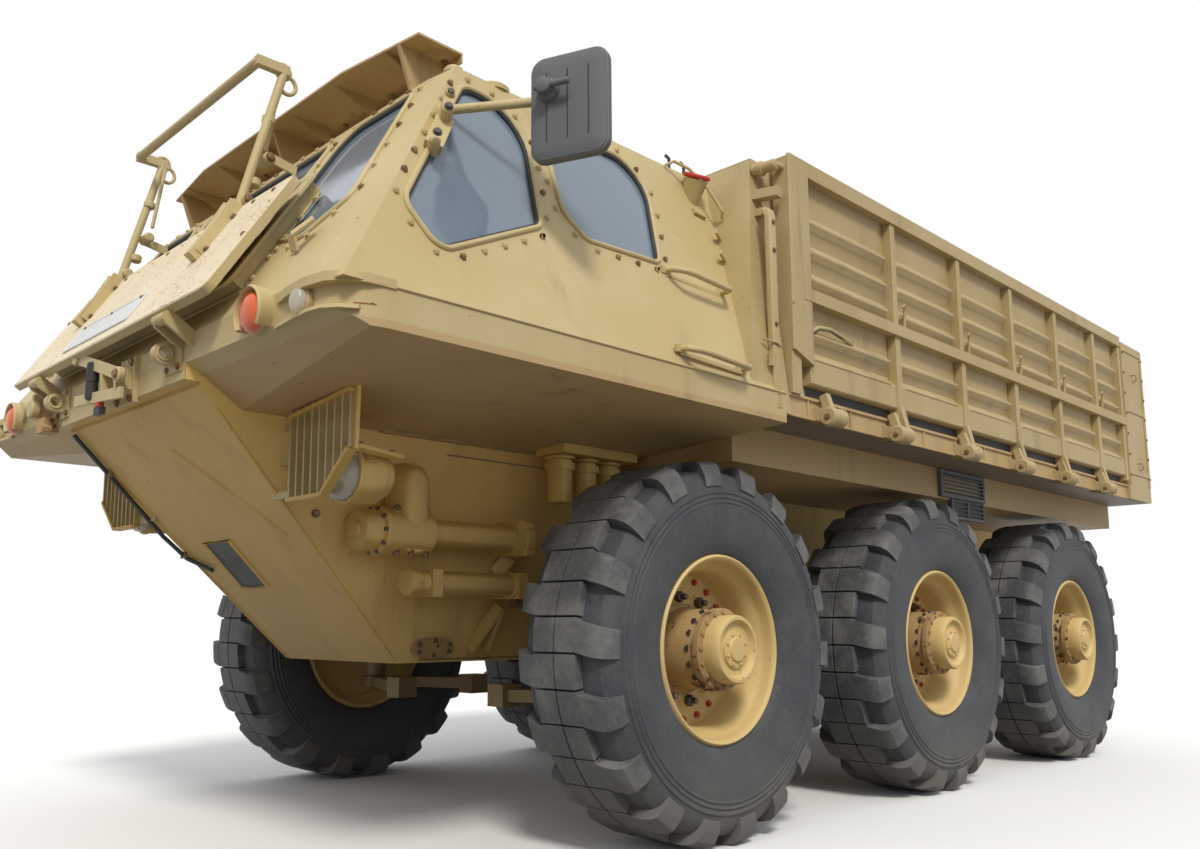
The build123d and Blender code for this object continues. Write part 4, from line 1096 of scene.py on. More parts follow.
@dataclass
class CabDetails:
    """Seams, lamps, hooks and the small things on the cab."""

    face: float = 1530
    belt_corner: Pair = (1410, 1188)
    belt_radius: float = 120
    lamp_at: Pair = (935, 1455)
    small_lamp_at: Pair = (1150, 1436)
    hood: Profile = ((59, -10), (65, -10), (67, 36), (62, 42), (58, 36))
    hood_steps: int = 18
    brow: Profile = ((1500, 1012), (1534, 1020), (1550, 1090), (1556, 1180), (1544, 1250), (1512, 1292),
        (1462, 1311), (1390, 1313), (1390, 1280), (1470, 1230))

    def build(self) -> list[Piece]:
        """Builds the cab's details."""
        pieces = [self._seams()]
        for side, sign in SIDES.items():
            pieces += [self._turn_lamp(sign).piece(f"turn_lamp_{side}", slot="lamp"),
                self._side_lamp(sign).piece(f"side_lamp_{side}", slot="lamp", bevel=1.5)]
        return [*pieces, self._hooks()]

    def _seams(self) -> Piece:
        """Weld beads along the belt, the slots at its corners and the brows over the lamps."""
        shape = Shape(Finish.BODY)
        ahead, out = self.belt_corner
        for shape.sign in SIGNS:
            shape.tube([(-198, 1309, 1466), (1440, 1309, 1466)], 4, 6)
            arc = [math.radians(14 + 5 * k) for k in range(6)]
            slot = [(ahead + self.belt_radius * math.sin(a), out + self.belt_radius * math.cos(a), 1416)
                for a in arc]
            # Each slot is a thin raised bar in the darker hub paint: painted shade of the slot.
            shape.paint(Finish.HUB).tube(slot, 2.8, 6)
            shape.paint(Finish.BODY).plate([(a, y, 1460) for a, y in self.brow], UP * 24)
        return shape.piece("cab_seams", bevel=1)

    def _turn_lamp(self, sign: int) -> Shape:
        """An amber lamp in a hood that is open below."""
        shape = Shape(Finish.BODY, sign)
        centre = shape.at((self.face, *self.lamp_at))
        shape.turn([(56, 0), (56, 14), (53, 17)], centre, AHEAD, 28)
        rings = []
        for k in range(self.hood_steps + 1):
            angle = math.radians(-40 + 260 * k / self.hood_steps)
            spoke = Vector((0, math.cos(angle), math.sin(angle)))
            rings.append([centre + (spoke * radius + AHEAD * ahead) * MM for radius, ahead in self.hood])
        shape.loft(rings)
        dome = [(53, 14), (52, 24), (46, 34), (33, 42), (16, 46), (3, 46.5)]
        return shape.paint(Finish.AMBER).turn(dome, centre, AHEAD, 28)

    def _side_lamp(self, sign: int) -> Shape:
        """A small clear lamp between the brow and a lip that follows the belt's corner."""
        shape = Shape(Finish.BODY, sign)
        centre = (self.face, *self.small_lamp_at)
        shape.turn([(34, 0), (34, 12), (30, 15)], centre, AHEAD, 20)
        dome = [(29, 12), (29, 22), (25, 31), (14, 37), (3, 38)]
        shape.paint(Finish.CLEAR).turn(dome, centre, AHEAD, 20)
        ahead, out = self.belt_corner
        corner = [(self.face, 1012), (self.face, 1100), (self.face, 1188)]
        corner += [(ahead + self.belt_radius * math.cos(t), out + self.belt_radius * math.sin(t))
            for t in (0.35, 0.7, 1)]
        rings = []
        for k, (a, y) in enumerate(corner):
            reach = 26 * math.sin(math.pi * (k + 0.6) / 6.4)
            foot, way = shape.at((a - 6, y, 1400)), shape.way((1, 0.12 * k, 0)).normalized()
            rings.append([foot + (way * run + UP * rise) * MM
                for run, rise in ((0, 0), (reach + 6, -2), (reach + 4, 8), (0, 14))])
        return shape.paint(Finish.BODY).loft(rings)

    def _hooks(self) -> Piece:
        """Grab hooks below the windscreens and lashing hooks along the roof."""
        shape = Shape(Finish.BODY)
        normal = FRONT.normal()
        for sign in SIGNS:
            low, high = FRONT.at(sign * 925, 1640, 6), FRONT.at(sign * 962, 1694, 34)
            bend = FRONT.at(sign * 930, 1662, 40)
            shape.beam(low, bend, 40, 8, normal).beam(bend, high + (high - bend) * 0.4, 40, 8, normal)
        shape.paint(Finish.NUT)
        for ahead in (4, -78):
            for shape.sign in SIGNS:
                path = ((0, 0, 0), (0, 0, 30), (12, 10, 45), (34, 12, 50))
                shape.tube([(ahead + a, 985 + y, 2294 + z) for a, y, z in path], 6, 8)
        return shape.piece("cab_hooks", bevel=1)


@dataclass
class Roof:
    """Vents, hatch handles, rain strips and the shade's gussets."""

    top: float = 2294
    edge: float = 985
    vents: Profile = ((939, 930), (939, -930))
    caps: Profile = ((814, 960), (814, -960))
    shade_under: float = 2455
    shade_top: float = 2462
    hatch_top: float = 2327

    def build(self) -> list[Piece]:
        """Builds the roof's fittings."""
        return [self._vents(), self._shade(), self._strips(), *(self._hatch_fittings(side) for side in SIDES)]

    def _vents(self) -> Piece:
        """Mushroom vents and flat filler caps near the roof's edge."""
        shape = Shape(Finish.BODY)
        mushroom = [(16, 0), (16, 24), (27, 26), (31, 32), (30, 42), (22, 50), (8, 53)]
        cap = [(55, 0), (55, 14), (45, 22), (15, 24)]
        for profile, places in ((mushroom, self.vents), (cap, self.caps)):
            for ahead, left in places:
                shape.turn(profile, (ahead, left, self.top), UP, 24)
        return shape.piece("roof_vents")

    def _shade(self) -> Piece:
        """Folded lip, gussets and bolts of the shade over the windscreens."""
        shape = Shape(Finish.SHADE)
        under = self.shade_under
        for left in (-700, -420, -140, 140, 420, 700):
            shape.plate([(1040, left, under), (880, left, under), (880, left, under - 62)], ACROSS * 6)
        shape.beam((848, 855, under - 14), (848, -855, under - 14), 6, 26)
        shape.paint(Finish.BOLT)
        for k in range(12):
            left = -790 + k * 143.6
            shape.bolt((866, left, under), -UP, 8, 8, k).bolt((866, left, self.shade_top), UP, 8, 8, k)
        return shape.piece("shade_gussets", bevel=1)

    def _strips(self) -> Piece:
        """Bolted joint strips along the roof's edges."""
        shape = Shape(Finish.BODY)
        rng = Random("strips")
        up = self.top + 3
        for shape.sign in SIGNS:
            shape.paint(Finish.BODY).beam((-190, self.edge, up), (955, self.edge, up), 36, 5)
            shape.paint(Finish.BOLT)
            for k in range(14):
                shape.bolt((-160 + k * 84, self.edge, up + 2), UP, 8, 8, rng.random())
        shape.paint(Finish.BODY)
        for shape.sign in SIGNS:
            shape.beam((self.edge, 0, up), (self.edge, 900, up), 36, 5)
        return shape.piece("roof_strips", bevel=1)

    def _hatch_fittings(self, side: str) -> Piece:
        """A raised stiffener and a grip on one hatch."""
        shape = Shape(Finish.BODY)
        foot = node_middle(f"hatch_{side}")
        foot.z = self.hatch_top * MM
        ring = ((-210, -230, 4), (210, -230, 4), (210, 230, 4), (-210, 230, 4))
        grip = ((160, -70, 0), (170, -60, 40), (170, 60, 40), (160, 70, 0))
        for path, closed in ((ring, True), (grip, False)):
            shape.tube([foot + Vector(p) * MM for p in path], 8, 8, closed)
        return shape.piece(f"hatch_fittings_{side}", f"hatch_{side}")


@dataclass
class Mirrors:
    """Mirror shells with pressed grooves, their arms' clamps and brackets."""

    middle: Triple = (850, 1338, 2098)
    turn: float = 22
    half_width: float = 114
    half_height: float = 151
    corner: float = 40
    form: Profile = ((-3, -14), (2, -10), (2, 8), (-3, 16), (-14, 20), (-40, 24))

    def build(self) -> list[Piece]:
        """Builds both mirrors."""
        return [self._mirror(side, sign) for side, sign in SIDES.items()]

    def _seat(self, out: float, up: float, ahead: float) -> Vector:
        """A place on the mirror, which is turned about its upright middle line."""
        place = Vector((ahead, self.sign * out, up)) * MM
        place.rotate(Matrix.Rotation(math.radians(self.sign * self.turn), 3, "Z"))
        return self.centre + place

    def _mirror(self, side: str, sign: int) -> Piece:
        """One mirror: shell in front, glass behind, clamp and bracket.

        Args:
            side: left or right.
            sign: The side's sign.

        Returns:
            The mirror.
        """
        shape = Shape(Finish.SHELL, sign)
        self.sign = sign
        self.centre = shape.at(self.middle)
        box = Outline.box(-self.half_width, -self.half_height, self.half_width, self.half_height, self.corner)
        shape.shell(box, self._seat, self.form, 6)
        # The pressed grooves are drawn as thin black lines: painted shade in the grooves.
        shape.paint(Finish.SEAL)
        for out in (-62, 0, 62):
            shape.tube([self._seat(out, -100, 23.5), self._seat(out, 100, 23.5)], 2.2, 6)
        shape.paint(Finish.STEEL).shell(box, self._seat, ((-12, -15.5), (-12, -13)), 6)
        turn = Matrix.Rotation(math.radians(sign * self.turn), 3, "Z")
        clamp, front, across = self._seat(-55, 45, 22), turn @ AHEAD, turn @ (ACROSS * sign)
        boss = [(34, 0), (32, 14), (24, 22), (22, 45), (12, 50)]
        shape.paint(Finish.SHELL).turn(boss, clamp, front, 20)
        shape.rod(clamp + (front * 34 - across * 30) * MM, clamp + (front * 34 + across * 75) * MM, 9)
        self._bracket(shape)
        return shape.piece(f"mirror_shell_{side}", slot="mirror_shell")

    def _bracket(self, shape: Shape) -> None:
        """The arm's foot on the ridge with its swivel bolts."""
        shape.paint(Finish.BODY)
        low, middle, high = (shape.at(p) for p in ((1175, 1150, 1935), (1115, 1118, 2040), (1090, 1092, 2100)))
        out = shape.way((0.35, 0.8, 0.3)).normalized()
        lift = out * MM
        shape.beam(low, middle, 50, 30, out)
        shape.rod(low - lift * 20, low + lift * 35, 16)
        shape.rod(middle - lift * 20, middle + lift * 55, 17)
        shape.beam(middle + lift * 35, high + lift * 40, 30, 18, out)
        shape.rod(high - lift * 5, high + lift * 60, 14)
        shape.paint(Finish.NUT)
        for point in (low, middle, high):
            shape.bolt(point + lift * 56, out, 10, 10)


# ---------------------------------------------------------------- load bed


UPPER_FOLDS = ((0, 0.3), (0.29, 0), (0.37, 1), (0.39, 1), (0.43, 0.45), (0.55, 0), (0.63, 1), (0.65, 1),
    (0.69, 0.45), (0.80, 0), (0.88, 1), (0.90, 1), (0.94, 0.4), (1, 0.3))
LOWER_FOLDS = ((0, 0.3), (0.28, 0), (0.37, 1), (0.40, 1), (0.45, 0.45), (0.57, 0), (0.68, 1), (0.70, 1))
FOLD_FOOT = 9
FOLD_RISE = 33
FOLD_FADE = 40


def press_sheet(shape: Shape, seat: Seat, start: float, end: float, span: Pair, folds: Profile) -> None:
    """A sheet pressed into folds that fade out at its two ends.

    Args:
        shape: The shape that gets it.
        seat: Gives a place along the board, out from its inner face and up.
        start: Where it begins along the board.
        end: Where it ends.
        span: Its top and its foot.
        folds: How far down the span each line of it lies, and how far out it stands.
    """
    top, low = span
    fade = math.copysign(FOLD_FADE, end - start)
    ends = ((start, 0), (start + fade, 1), (end - fade, 1), (end, 0))
    lines = [[seat(along, FOLD_FOOT + FOLD_RISE * rise * weight, top - (top - low) * drop)
        for drop, rise in folds] for along, weight in ends]
    shape.loft(lines, caps=False, open_section=True)


@dataclass
class Board:
    """A drop side: pressed sheets between rails, ribs and hinge arms.

    Attributes:
        front, rear: Ends of the board, ahead of the front axle.
        inner, outer: Its faces, out from the middle.
        rails: Foot and top of the upper and the middle rail.
        ribs: Middles of the upright ribs.
        arms: Middles of the hinge arms.
        pin: Hinge pin, out from the middle and above the ground.
    """

    front: float = -318
    rear: float = -3670
    inner: float = 1262
    outer: float = 1308
    low: float = 1490
    high: float = 2340
    rails: tuple[Pair, ...] = ((2286, 2344), (1822, 1868))
    ribs: tuple[float, ...] = (-1000, -1585, -2145, -2695, -3245)
    arms: tuple[float, ...] = (-440, -925, -1530, -2095, -2630, -3190)
    pin: Pair = (1345, 1410)
    stile: float = 42
    end_rib: float = 34
    band: Profile = ((1526, 3), (1526, 34), (1532, 40), (1618, 40), (1646, 12), (1646, 3))
    rope_hook: tuple[Triple, ...] = ((0, 1308, 1866), (0, 1312, 1930), (4, 1318, 1952), (16, 1322, 1958),
        (20, 1316, 1946))
    crease: tuple[Triple, ...] = ((-362, 1294, 1706), (-430, 1302, 1742), (-500, 1306, 1748),
        (-580, 1303, 1738), (-668, 1296, 1726))

    def build(self) -> list[Piece]:
        """Builds both drop sides and what carries them."""
        pieces = []
        for side, sign in SIDES.items():
            board = self._board(sign).piece(f"board_{side}", f"drop_side_{side}", bevel=3)
            pieces.append(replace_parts(board, f"drop_side_{side}"))
            pieces.append(self._castings(sign).piece(f"bed_castings_{side}", bevel=2))
        return pieces

    def _board(self, sign: int) -> Shape:
        """Skin, rails, ribs, pressed sheets, arms and hooks of one board."""
        shape = Shape(Finish.BOARD, sign)
        front, rear, inner, outer = self.front, self.rear, self.inner + 2, self.outer

        def seat(ahead: float, out: float, up: float) -> Vector:
            """A place out from the board's inner face."""
            return shape.at((ahead, self.inner + out, up))

        skin = [(front, self.high), (front, 1566), (front - 58, self.low), (rear, self.low), (rear, self.high)]
        shape.plate([(a, self.inner, z) for a, z in skin], (0, 3, 0))
        (rail, top), (low_rail, middle) = self.rails
        shape.block((rear, inner, rail), (front, outer + 6, top))
        shape.block((rear, inner, low_rail), (front - 6, outer + 10, middle))
        shape.loft([[seat(ahead, out, up) for up, out in self.band] for ahead in (front - 50, rear + 20)])
        shape.block((rear, inner, 1500), (rear + self.end_rib, outer, rail))
        # A black strip on the skin at the board's foot: painted shadow in the gap above the bed.
        shape.paint(Finish.SEAL).block((front - 66, inner, 1494), (rear + self.end_rib, inner + 3, 1530))
        shape.paint(Finish.BOARD)
        self._stile(shape)
        edges = [front - self.stile, *self.ribs, rear + self.end_rib]
        for k, (start, end) in enumerate(zip(edges, edges[1:])):
            begin, finish = start - (19 if k else 0), end + (19 if k < len(self.ribs) else 0)
            press_sheet(shape, seat, begin, finish, (rail, middle), UPPER_FOLDS)
            press_sheet(shape, seat, begin, finish, (low_rail, 1530), LOWER_FOLDS)
        for rib in self.ribs:
            shape.block((rib - 18, inner, middle), (rib + 18, outer - 1, rail))
            shape.block((rib - 26, inner, self.low), (rib + 14, outer - 1, low_rail))
            shape.beam((rib - 6, 1304, 1540), (rib - 6, 1328, 1436), 34, 16, ACROSS)
            shape.tube([(rib - 62 + a, y, z) for a, y, z in self.rope_hook], 6.5, 8)
        shape.turn([(14, 0), (14, 14), (8, 22)], (-395, 1286, 2012), (0, 1, 0), 12)
        shape.tube(self.crease, 8.5, 8)
        # A thin black line under the crease: painted shadow below the dent's edge.
        shape.paint(Finish.SEAL).tube([(a, y + 7, z - 9) for a, y, z in self.crease[:4]], 2.6, 6)
        shape.paint(Finish.BOARD)
        y, z = self.pin
        for arm in self.arms:
            shape.collar((arm - 14, y, z), AHEAD, 33, 28, 3, 24)
            shape.beam((arm, y - 8, z), (arm, outer + 2, 1496), 28, 30, ACROSS)
        return shape

    def _stile(self, shape: Shape) -> None:
        """The round-edged upright at the front end, cut off at a slant and lapped over the post."""
        middle = self.front - self.stile / 2
        for line, slant in ((Outline.box(-23, -25, 23, 27, 9, 14), 0.55),
                (Outline.box(-40, 18, 86, 30, 2, 8), 0.35)):
            shape.loft([[(middle + u, 1286 + v, up + tilt * u) for u, v in line.path(0, 4)]
                for up, tilt in ((1602, slant), (2300, 0), (2343, 0))])

    def _castings(self, sign: int) -> Shape:
        """Hinge ears on the bed, its side channel and gussets."""
        shape = Shape(Finish.BOARD, sign)
        y, z = self.pin
        for ahead in self.arms:
            shape.paint(Finish.BOARD)
            for low in (ahead - 44, ahead + 17):
                shape.collar((low, y, z), AHEAD, 35, 27, (7, 5), 24)
                shape.beam((low + 13, y - 4, z - 2), (low + 13, 1284, 1432), 24, 44, Vector((0, 0.3, 1)))
            shape.paint(Finish.BOLT).rod((ahead - 50, y, z), (ahead + 50, y, z), 11)
        shape.paint(Finish.UNDER)
        for out, up in (((1283, 1286), (1402, 1476)), ((1284, 1294), (1470, 1480)),
                ((1284, 1294), (1400, 1408))):
            shape.block((-3980, out[0], up[0]), (-245, out[1], up[1]))
        for k in range(13):
            shape.block((-368 - k * 285, 1284, 1408), (-360 - k * 285, 1292, 1470))
        return shape


@dataclass
class Corner:
    """The upright posts at the bed's corners, with the locking gear of the front ones."""

    out: float = 1308
    post_edges: Pair = (-3700, -4025)

    def build(self) -> list[Piece]:
        """Builds the locking gear and the rear posts' trim of both sides."""
        pieces = []
        for side, sign in SIDES.items():
            pieces.append(self._lock(sign).piece(f"side_lock_{side}", bevel=2))
            pieces.append(self._rear_post(sign).piece(f"rear_post_trim_{side}", bevel=2))
        return pieces

    def _lock(self, sign: int) -> Shape:
        """Locking bar, its rod, latch, barrel and brackets."""
        shape = Shape(Finish.BOARD, sign)
        section = Outline.box(-19, -13, 19, 13, 5, 8).path(0, 3)
        shape.loft([[(ahead + u, out + v, up) for u, v in section]
            for ahead, out, up in ((-162, 1297, 1411), (-162, 1297, 1470), (-160, 1294, 1500),
            (-158, 1294, 2085), (-160, 1286, 2108), (-170, 1268, 2120))])
        shape.tube([(-206, 1272, 1450), (-206, 1272, 1650), (-204, 1266, 2070)], 11, 10)
        shape.beam((-196, 1196, 2196), (-205, 1306, 2184), 40, 34)
        shape.beam((-196, 1205, 2128), (-190, 1262, 2122), 30, 26)
        shape.rod((-205, 1196, 2296), (-215, 1290, 2294), 21, 16)
        shape.rod((-208, 1216, 2296), (-212, 1240, 2295), 27, 16)
        shape.rod((-215, 1282, 2294), (-275, 1290, 2296), 13, 12)
        shape.beam((-150, 1262, 1580), (-128, 1312, 1582), 18, 26)
        shape.beam((-128, 1308, 1592), (-122, 1306, 1548), 16, 14, AHEAD)
        shape.tube([(-100, 1292, 1640), (-150, 1311, 1632), (-182, 1308, 1624)], 4, 6)
        shape.plate([(-232, 1186, 1482), (-309, 1254, 1482), (-309, 1254, 2326), (-232, 1186, 2326)], AHEAD * 4)
        shape.paint(Finish.BOLT)
        for up in (1462, 1700, 1960, 2060):
            shape.bolt((-158, 1307, up), (0, 1, 0), 7, 6, up)
        return shape.bolt((-205, 1294, 2190), (0, 1, 0), 11, 10)

    def _rear_post(self, sign: int) -> Shape:
        """Edges, lashing hooks and bolts on the rear corner post."""
        shape = Shape(Finish.BOARD, sign)
        out = self.out
        for up in (1560, 1930, 2290):
            shape.beam((-3690, out + 2, up), (-4035, out + 2, up), 5, 30)
        for ahead in self.post_edges:
            shape.block((ahead - 14, out, 1490), (ahead + 14, out + 5, 2318))
        for up in (1620, 2150):
            shape.tube([(-3860, out, up), (-3860, out + 18, up), (-3866, out + 24, up - 16),
                (-3872, out + 18, up - 36), (-3872, out, up - 38)], 6, 8)
        shape.paint(Finish.BOLT)
        for k in range(7):
            for ahead in self.post_edges:
                shape.bolt((ahead, out + 5, 1540 + k * 120), (0, 1, 0), 7, 6, k)
        return shape


@dataclass
class Shoulder:
    """Steps, pull handle and cable hook where the cab meets the headboard."""

    ring: Triple = (-46, 2250, 50)
    ring_radius: float = 42

    def build(self) -> list[Piece]:
        """Builds the fittings of both shoulders."""
        return [self._gear(face, sign).piece(f"shoulder_gear_{side}", bevel=1.5)
            for (side, face), sign in zip(FLANKS.items(), SIGNS)]

    def _gear(self, face: Face, sign: int) -> Shape:
        """Steps, the cup with its red ring, a plate and a cable on one shoulder."""
        shape = Shape(Finish.BODY, sign)
        out = shape.way((0.6, 0.8, 0.25)).normalized()
        for up, ahead in ((2040, -118), (1950, -96)):
            foot = face.at(ahead, up)
            shape.beam(foot - AHEAD * 30 * MM, foot + (shape.way((30, 12, 12)) + out * 20) * MM, 18, 10, out)
        axis = shape.way((0.1, 0.45, 0.9)).normalized()
        middle = face.at(*self.ring)
        cup = [(26, -98), (30, -94), (34, -60), (43, -10), (45, 0), (40, 2)]
        shape.turn(cup, middle - axis * 12 * MM, axis, 24)
        shape.plate([face.at(*p) for p in ((-82, 2136), (-22, 2142), (-24, 2122), (-84, 2116))],
            face.normal() * 12)
        ring = circle(middle, axis, self.ring_radius, 20)
        shape.paint(Finish.RED).tube(ring, 8, 8, closed=True).rod(ring[0], ring[10], 7)
        cable = ((60, 2292, 6), (40, 2296, 34), (-10, 2268, 52), (-70, 2200, 62), (-116, 2120, 60),
            (-132, 2108, 40))
        return shape.paint(Finish.BODY).tube([face.at(*p) for p in cable], 6, 8)


@dataclass
class Handles:
    """Grab handles of bent flat bar on the cab's sides.

    Attributes:
        ends: Feet of each handle, ahead of the front axle, its height and how far out its foot and grip are.
    """

    ends: tuple[tuple[float, ...], ...] = ((272, -15, 1806, 1180, 1244), (346, 37, 1512, 1296, 1352))

    def build(self) -> list[Piece]:
        """Builds the four handles as one piece."""
        shape = Shape(Finish.BODY)
        for shape.sign in SIGNS:
            for ahead, behind, up, foot, grip in self.ends:
                middle = (foot + grip) / 2
                path = [(ahead, foot, up + 8), (ahead - 6, middle, up + 6), (ahead - 34, grip - 5, up),
                    (ahead - 72, grip, up - 2), (behind + 62, grip, up - 10), (behind + 22, grip - 6, up - 8),
                    (behind + 3, middle, up - 4), (behind, foot, up - 2)]
                shape.tube(path, 10.5, 10)
                for a, y, z in (path[0], path[-1]):
                    shape.block((a - 22, y - 3, z - 12), (a + 22, y + 9, z + 12))
                shape.beam((ahead, foot + 6, up - 6), (behind, foot + 6, up - 16), 8, 12)
        return [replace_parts(shape.piece("handles", bevel=1), "grab_handles")]


@dataclass
class Tailgate:
    """The pressed rear board with its ribs and hinge arms."""

    inner: float = -4000
    half: float = 1172
    end_rib: float = 34
    rails: tuple[Triple, ...] = ((2286, 2344, 46), (1822, 1868, 50), (1490, 1530, 40))
    ribs: tuple[float, ...] = (-586, 0, 586)
    arms: tuple[float, ...] = (-800, 0, 800)

    def build(self) -> list[Piece]:
        """Builds the tailgate."""
        shape = Shape(Finish.BOARD)
        half, edge = self.half, self.half - self.end_rib
        skin = [self._seat(a, 0, z) for a, z in ((-half, 1490), (half, 1490), (half, 2340), (-half, 2340))]
        shape.plate(skin, -AHEAD * 3)
        for low, high, out in self.rails:
            shape.block(self._seat(-half, out, low), self._seat(half, 2, high))
        for end in (-half, edge):
            shape.block(self._seat(end, 45, 1500), self._seat(end + self.end_rib, 2, 2290))
        edges = [-edge, *self.ribs, edge]
        for start, end in zip(edges, edges[1:]):
            press_sheet(shape, self._seat, start + 17, end - 17, (2286, 1868), UPPER_FOLDS)
            press_sheet(shape, self._seat, start + 17, end - 17, (1822, 1510), (*LOWER_FOLDS, (1, 1)))
        for rib in self.ribs:
            shape.block(self._seat(rib - 17, 44, 1504), self._seat(rib + 17, 2, 2290))
        for arm in self.arms:
            shape.collar((-4090, arm - 14, 1410), ACROSS, 33, 28, 3, 24)
            shape.beam((-4087, arm, 1420), self._seat(arm, 38, 1534), 28, 34, AHEAD)
        shape.paint(Finish.BOLT)
        for k in range(9):
            shape.bolt(self._seat(-1080 + 270 * k, 46, 2315), -AHEAD, 8, 7, k)
        return [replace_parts(shape.piece("tailgate_board", "tailgate", bevel=3), "tailgate")]

    def _seat(self, along: float, out: float, up: float) -> Vector:
        """A place on the tailgate: across the truck, out from its inner face and up."""
        return spot(self.inner - out, along, up)


# ---------------------------------------------------------------- nose and hull


@dataclass
class Vane:
    """The folding plate on the nose, its uprights' fittings and the seat frame below it."""

    face: Face = Face(1610, 1550, 0.65)
    half: float = 770
    low: float = 1550
    high: float = 1931
    upright: float = 450
    pin_height: float = 1529.6
    lowest_rivet: float = 1700
    painted_share: float = 0.6
    eyes: tuple[float, ...] = (-520, 520)
    edge: Profile = ((-30, -8), (-3, -8), (-1, -14), (0, -16), (0, -4), (-3, 0), (-20, 0))
    flange: Profile = ((1, -1.5), (5, -1.5), (5, -27), (-3, -27))

    def build(self) -> list[Piece]:
        """Builds the plate, its sign, the uprights' fittings and the seat frame."""
        plate = self._plate().piece("vane_plate", "trim_vane", bevel=1.5)
        return [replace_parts(plate, "trim_vane"), self._sign(), self._uprights(), self._frame()]

    def _plate(self) -> Shape:
        """The plate with a rolled edge, stiffeners, rivets and hinge eyes."""
        shape = Shape(Finish.VANE)
        at, normal = self.face.at, self.face.normal()
        outline = Outline.box(-self.half, self.low, self.half, self.high, 22)
        shape.shell(outline, at, self.edge).paint(Finish.BODY)
        for up in (1612, 1740, 1868):
            shape.beam(at(self.half - 60, up, -24), at(60 - self.half, up, -24), 32, 34, normal)
        for left in (-self.half + 80, -240, 240, self.half - 80):
            shape.beam(at(left, self.low + 40, -22), at(left, self.high - 40, -22), 30, 28, normal)
        for left in self.eyes:
            pin = at(left, self.pin_height, -22)
            shape.collar(pin - ACROSS * 20 * MM, ACROSS, 17, 40, 3, 20)
            shape.beam(pin, at(left, 1572, -16), 38, 14, normal)
        shape.shell(outline, at, self.flange, caps=False)
        rng = Random("vane")
        for u, v in outline.spaced(-26, 118):
            if v >= self.lowest_rivet:
                shape.paint(Finish.VANE if rng.random() < self.painted_share else Finish.BOLT)
                shape.turn([(9, -1), (8, 3), (3, 5)], at(u, v), normal, 10)
        return shape

    def _sign(self) -> Piece:
        """A blank number plate with its screws and a raised edge."""
        shape = Shape(Finish.PLATE)
        shape.shell(Outline.box(-338, 1588, 206, 1690, 12), self.face.at,
            ((0, 0.5), (0, 3.5), (-2, 5.5), (-7, 5.5), (-9, 3.5), (-30, 3.5)))
        shape.paint(Finish.BOLT)
        for left in (-300, -66, 168):
            shape.bolt(self.face.at(left, 1679, 3), self.face.normal(), 5, 5, left)
        return shape.piece("blank_number_plate", "trim_vane")

    def _uprights(self) -> Piece:
        """Pivots, stay rods, rings and brace feet of the two uprights."""
        shape = Shape(Finish.BODY)
        at, normal, line = self.face.at, self.face.normal(), self.upright
        shape.rod((1325, -line, 2412), (1325, line, 2412), 15.4, 20)
        for shape.sign in SIGNS:
            y = shape.sign * line
            shape.paint(Finish.BODY)
            for ahead, up, radius in ((1240, 2411, 24), (1224, 2372, 30)):
                ring = circle(shape.at((ahead, line, up)), shape.way((0, 1, 0)), radius, 16)
                shape.tube(ring, 7, 8, closed=True)
            shape.rod((1238, line - 22, 2388), (1276, line - 22, 2142), 7, 8)
            shape.rod((1286, line - 34, 2103), (1286, line + 30, 2103), 18, 16)
            shape.rod((1352, line - 30, 1950), (1352, line + 30, 1950), 18, 16)
            for up, ahead in ((2019, 1322), (2235, 1284)):
                shape.rod((ahead, line, up - 14), (ahead - 3, line, up + 14), 20, 16)
            shape.beam((1286, line + 26, 2103), (1196, line + 26, 2086), 8, 30)
            shape.beam(at(y, 1768, 6), at(y, 1905, 34), 44, 10, normal)
            for left in (y - 22, y + 22):
                shape.beam(at(left, 1745, 3), at(left, 1920, 20), 7, 40, normal)
            shape.paint(Finish.BOLT)
            for along, up in ((-34, 1760), (34, 1760), (-34, 1880), (34, 1880)):
                shape.bolt(at(y + along, up), normal, 8, 9, up)
            for ahead, up in ((1352, 1950), (1286, 2103)):
                shape.bolt((ahead, line + 30, up), (0, 1, 0), 12, 10)
        return shape.piece("vane_fittings", "trim_vane", bevel=1.5)

    def _frame(self) -> Piece:
        """Weld beads, bolts and the flange of the vane's seat on the nose."""
        shape = Shape(Finish.BODY)
        for sign in SIGNS:
            shape.tube([FRONT.at(sign * 706, up) for up in (1600, 1930)], 5, 6)
            for k in range(5):
                shape.bolt(FRONT.at(sign * 722, 1620 + 70 * k), FRONT.normal(), 9, 9, k)
        shape.tube([FRONT.at(706, 1582, 2), FRONT.at(-706, 1582, 2)], 5, 6)
        shape.shell(Outline.box(-700, 1590, 700, 1942, 12), FRONT.at, ((-2, 49), (24, 49), (24, 39), (-2, 39)),
            closed=True)
        return shape.piece("vane_seat_welds", bevel=1)


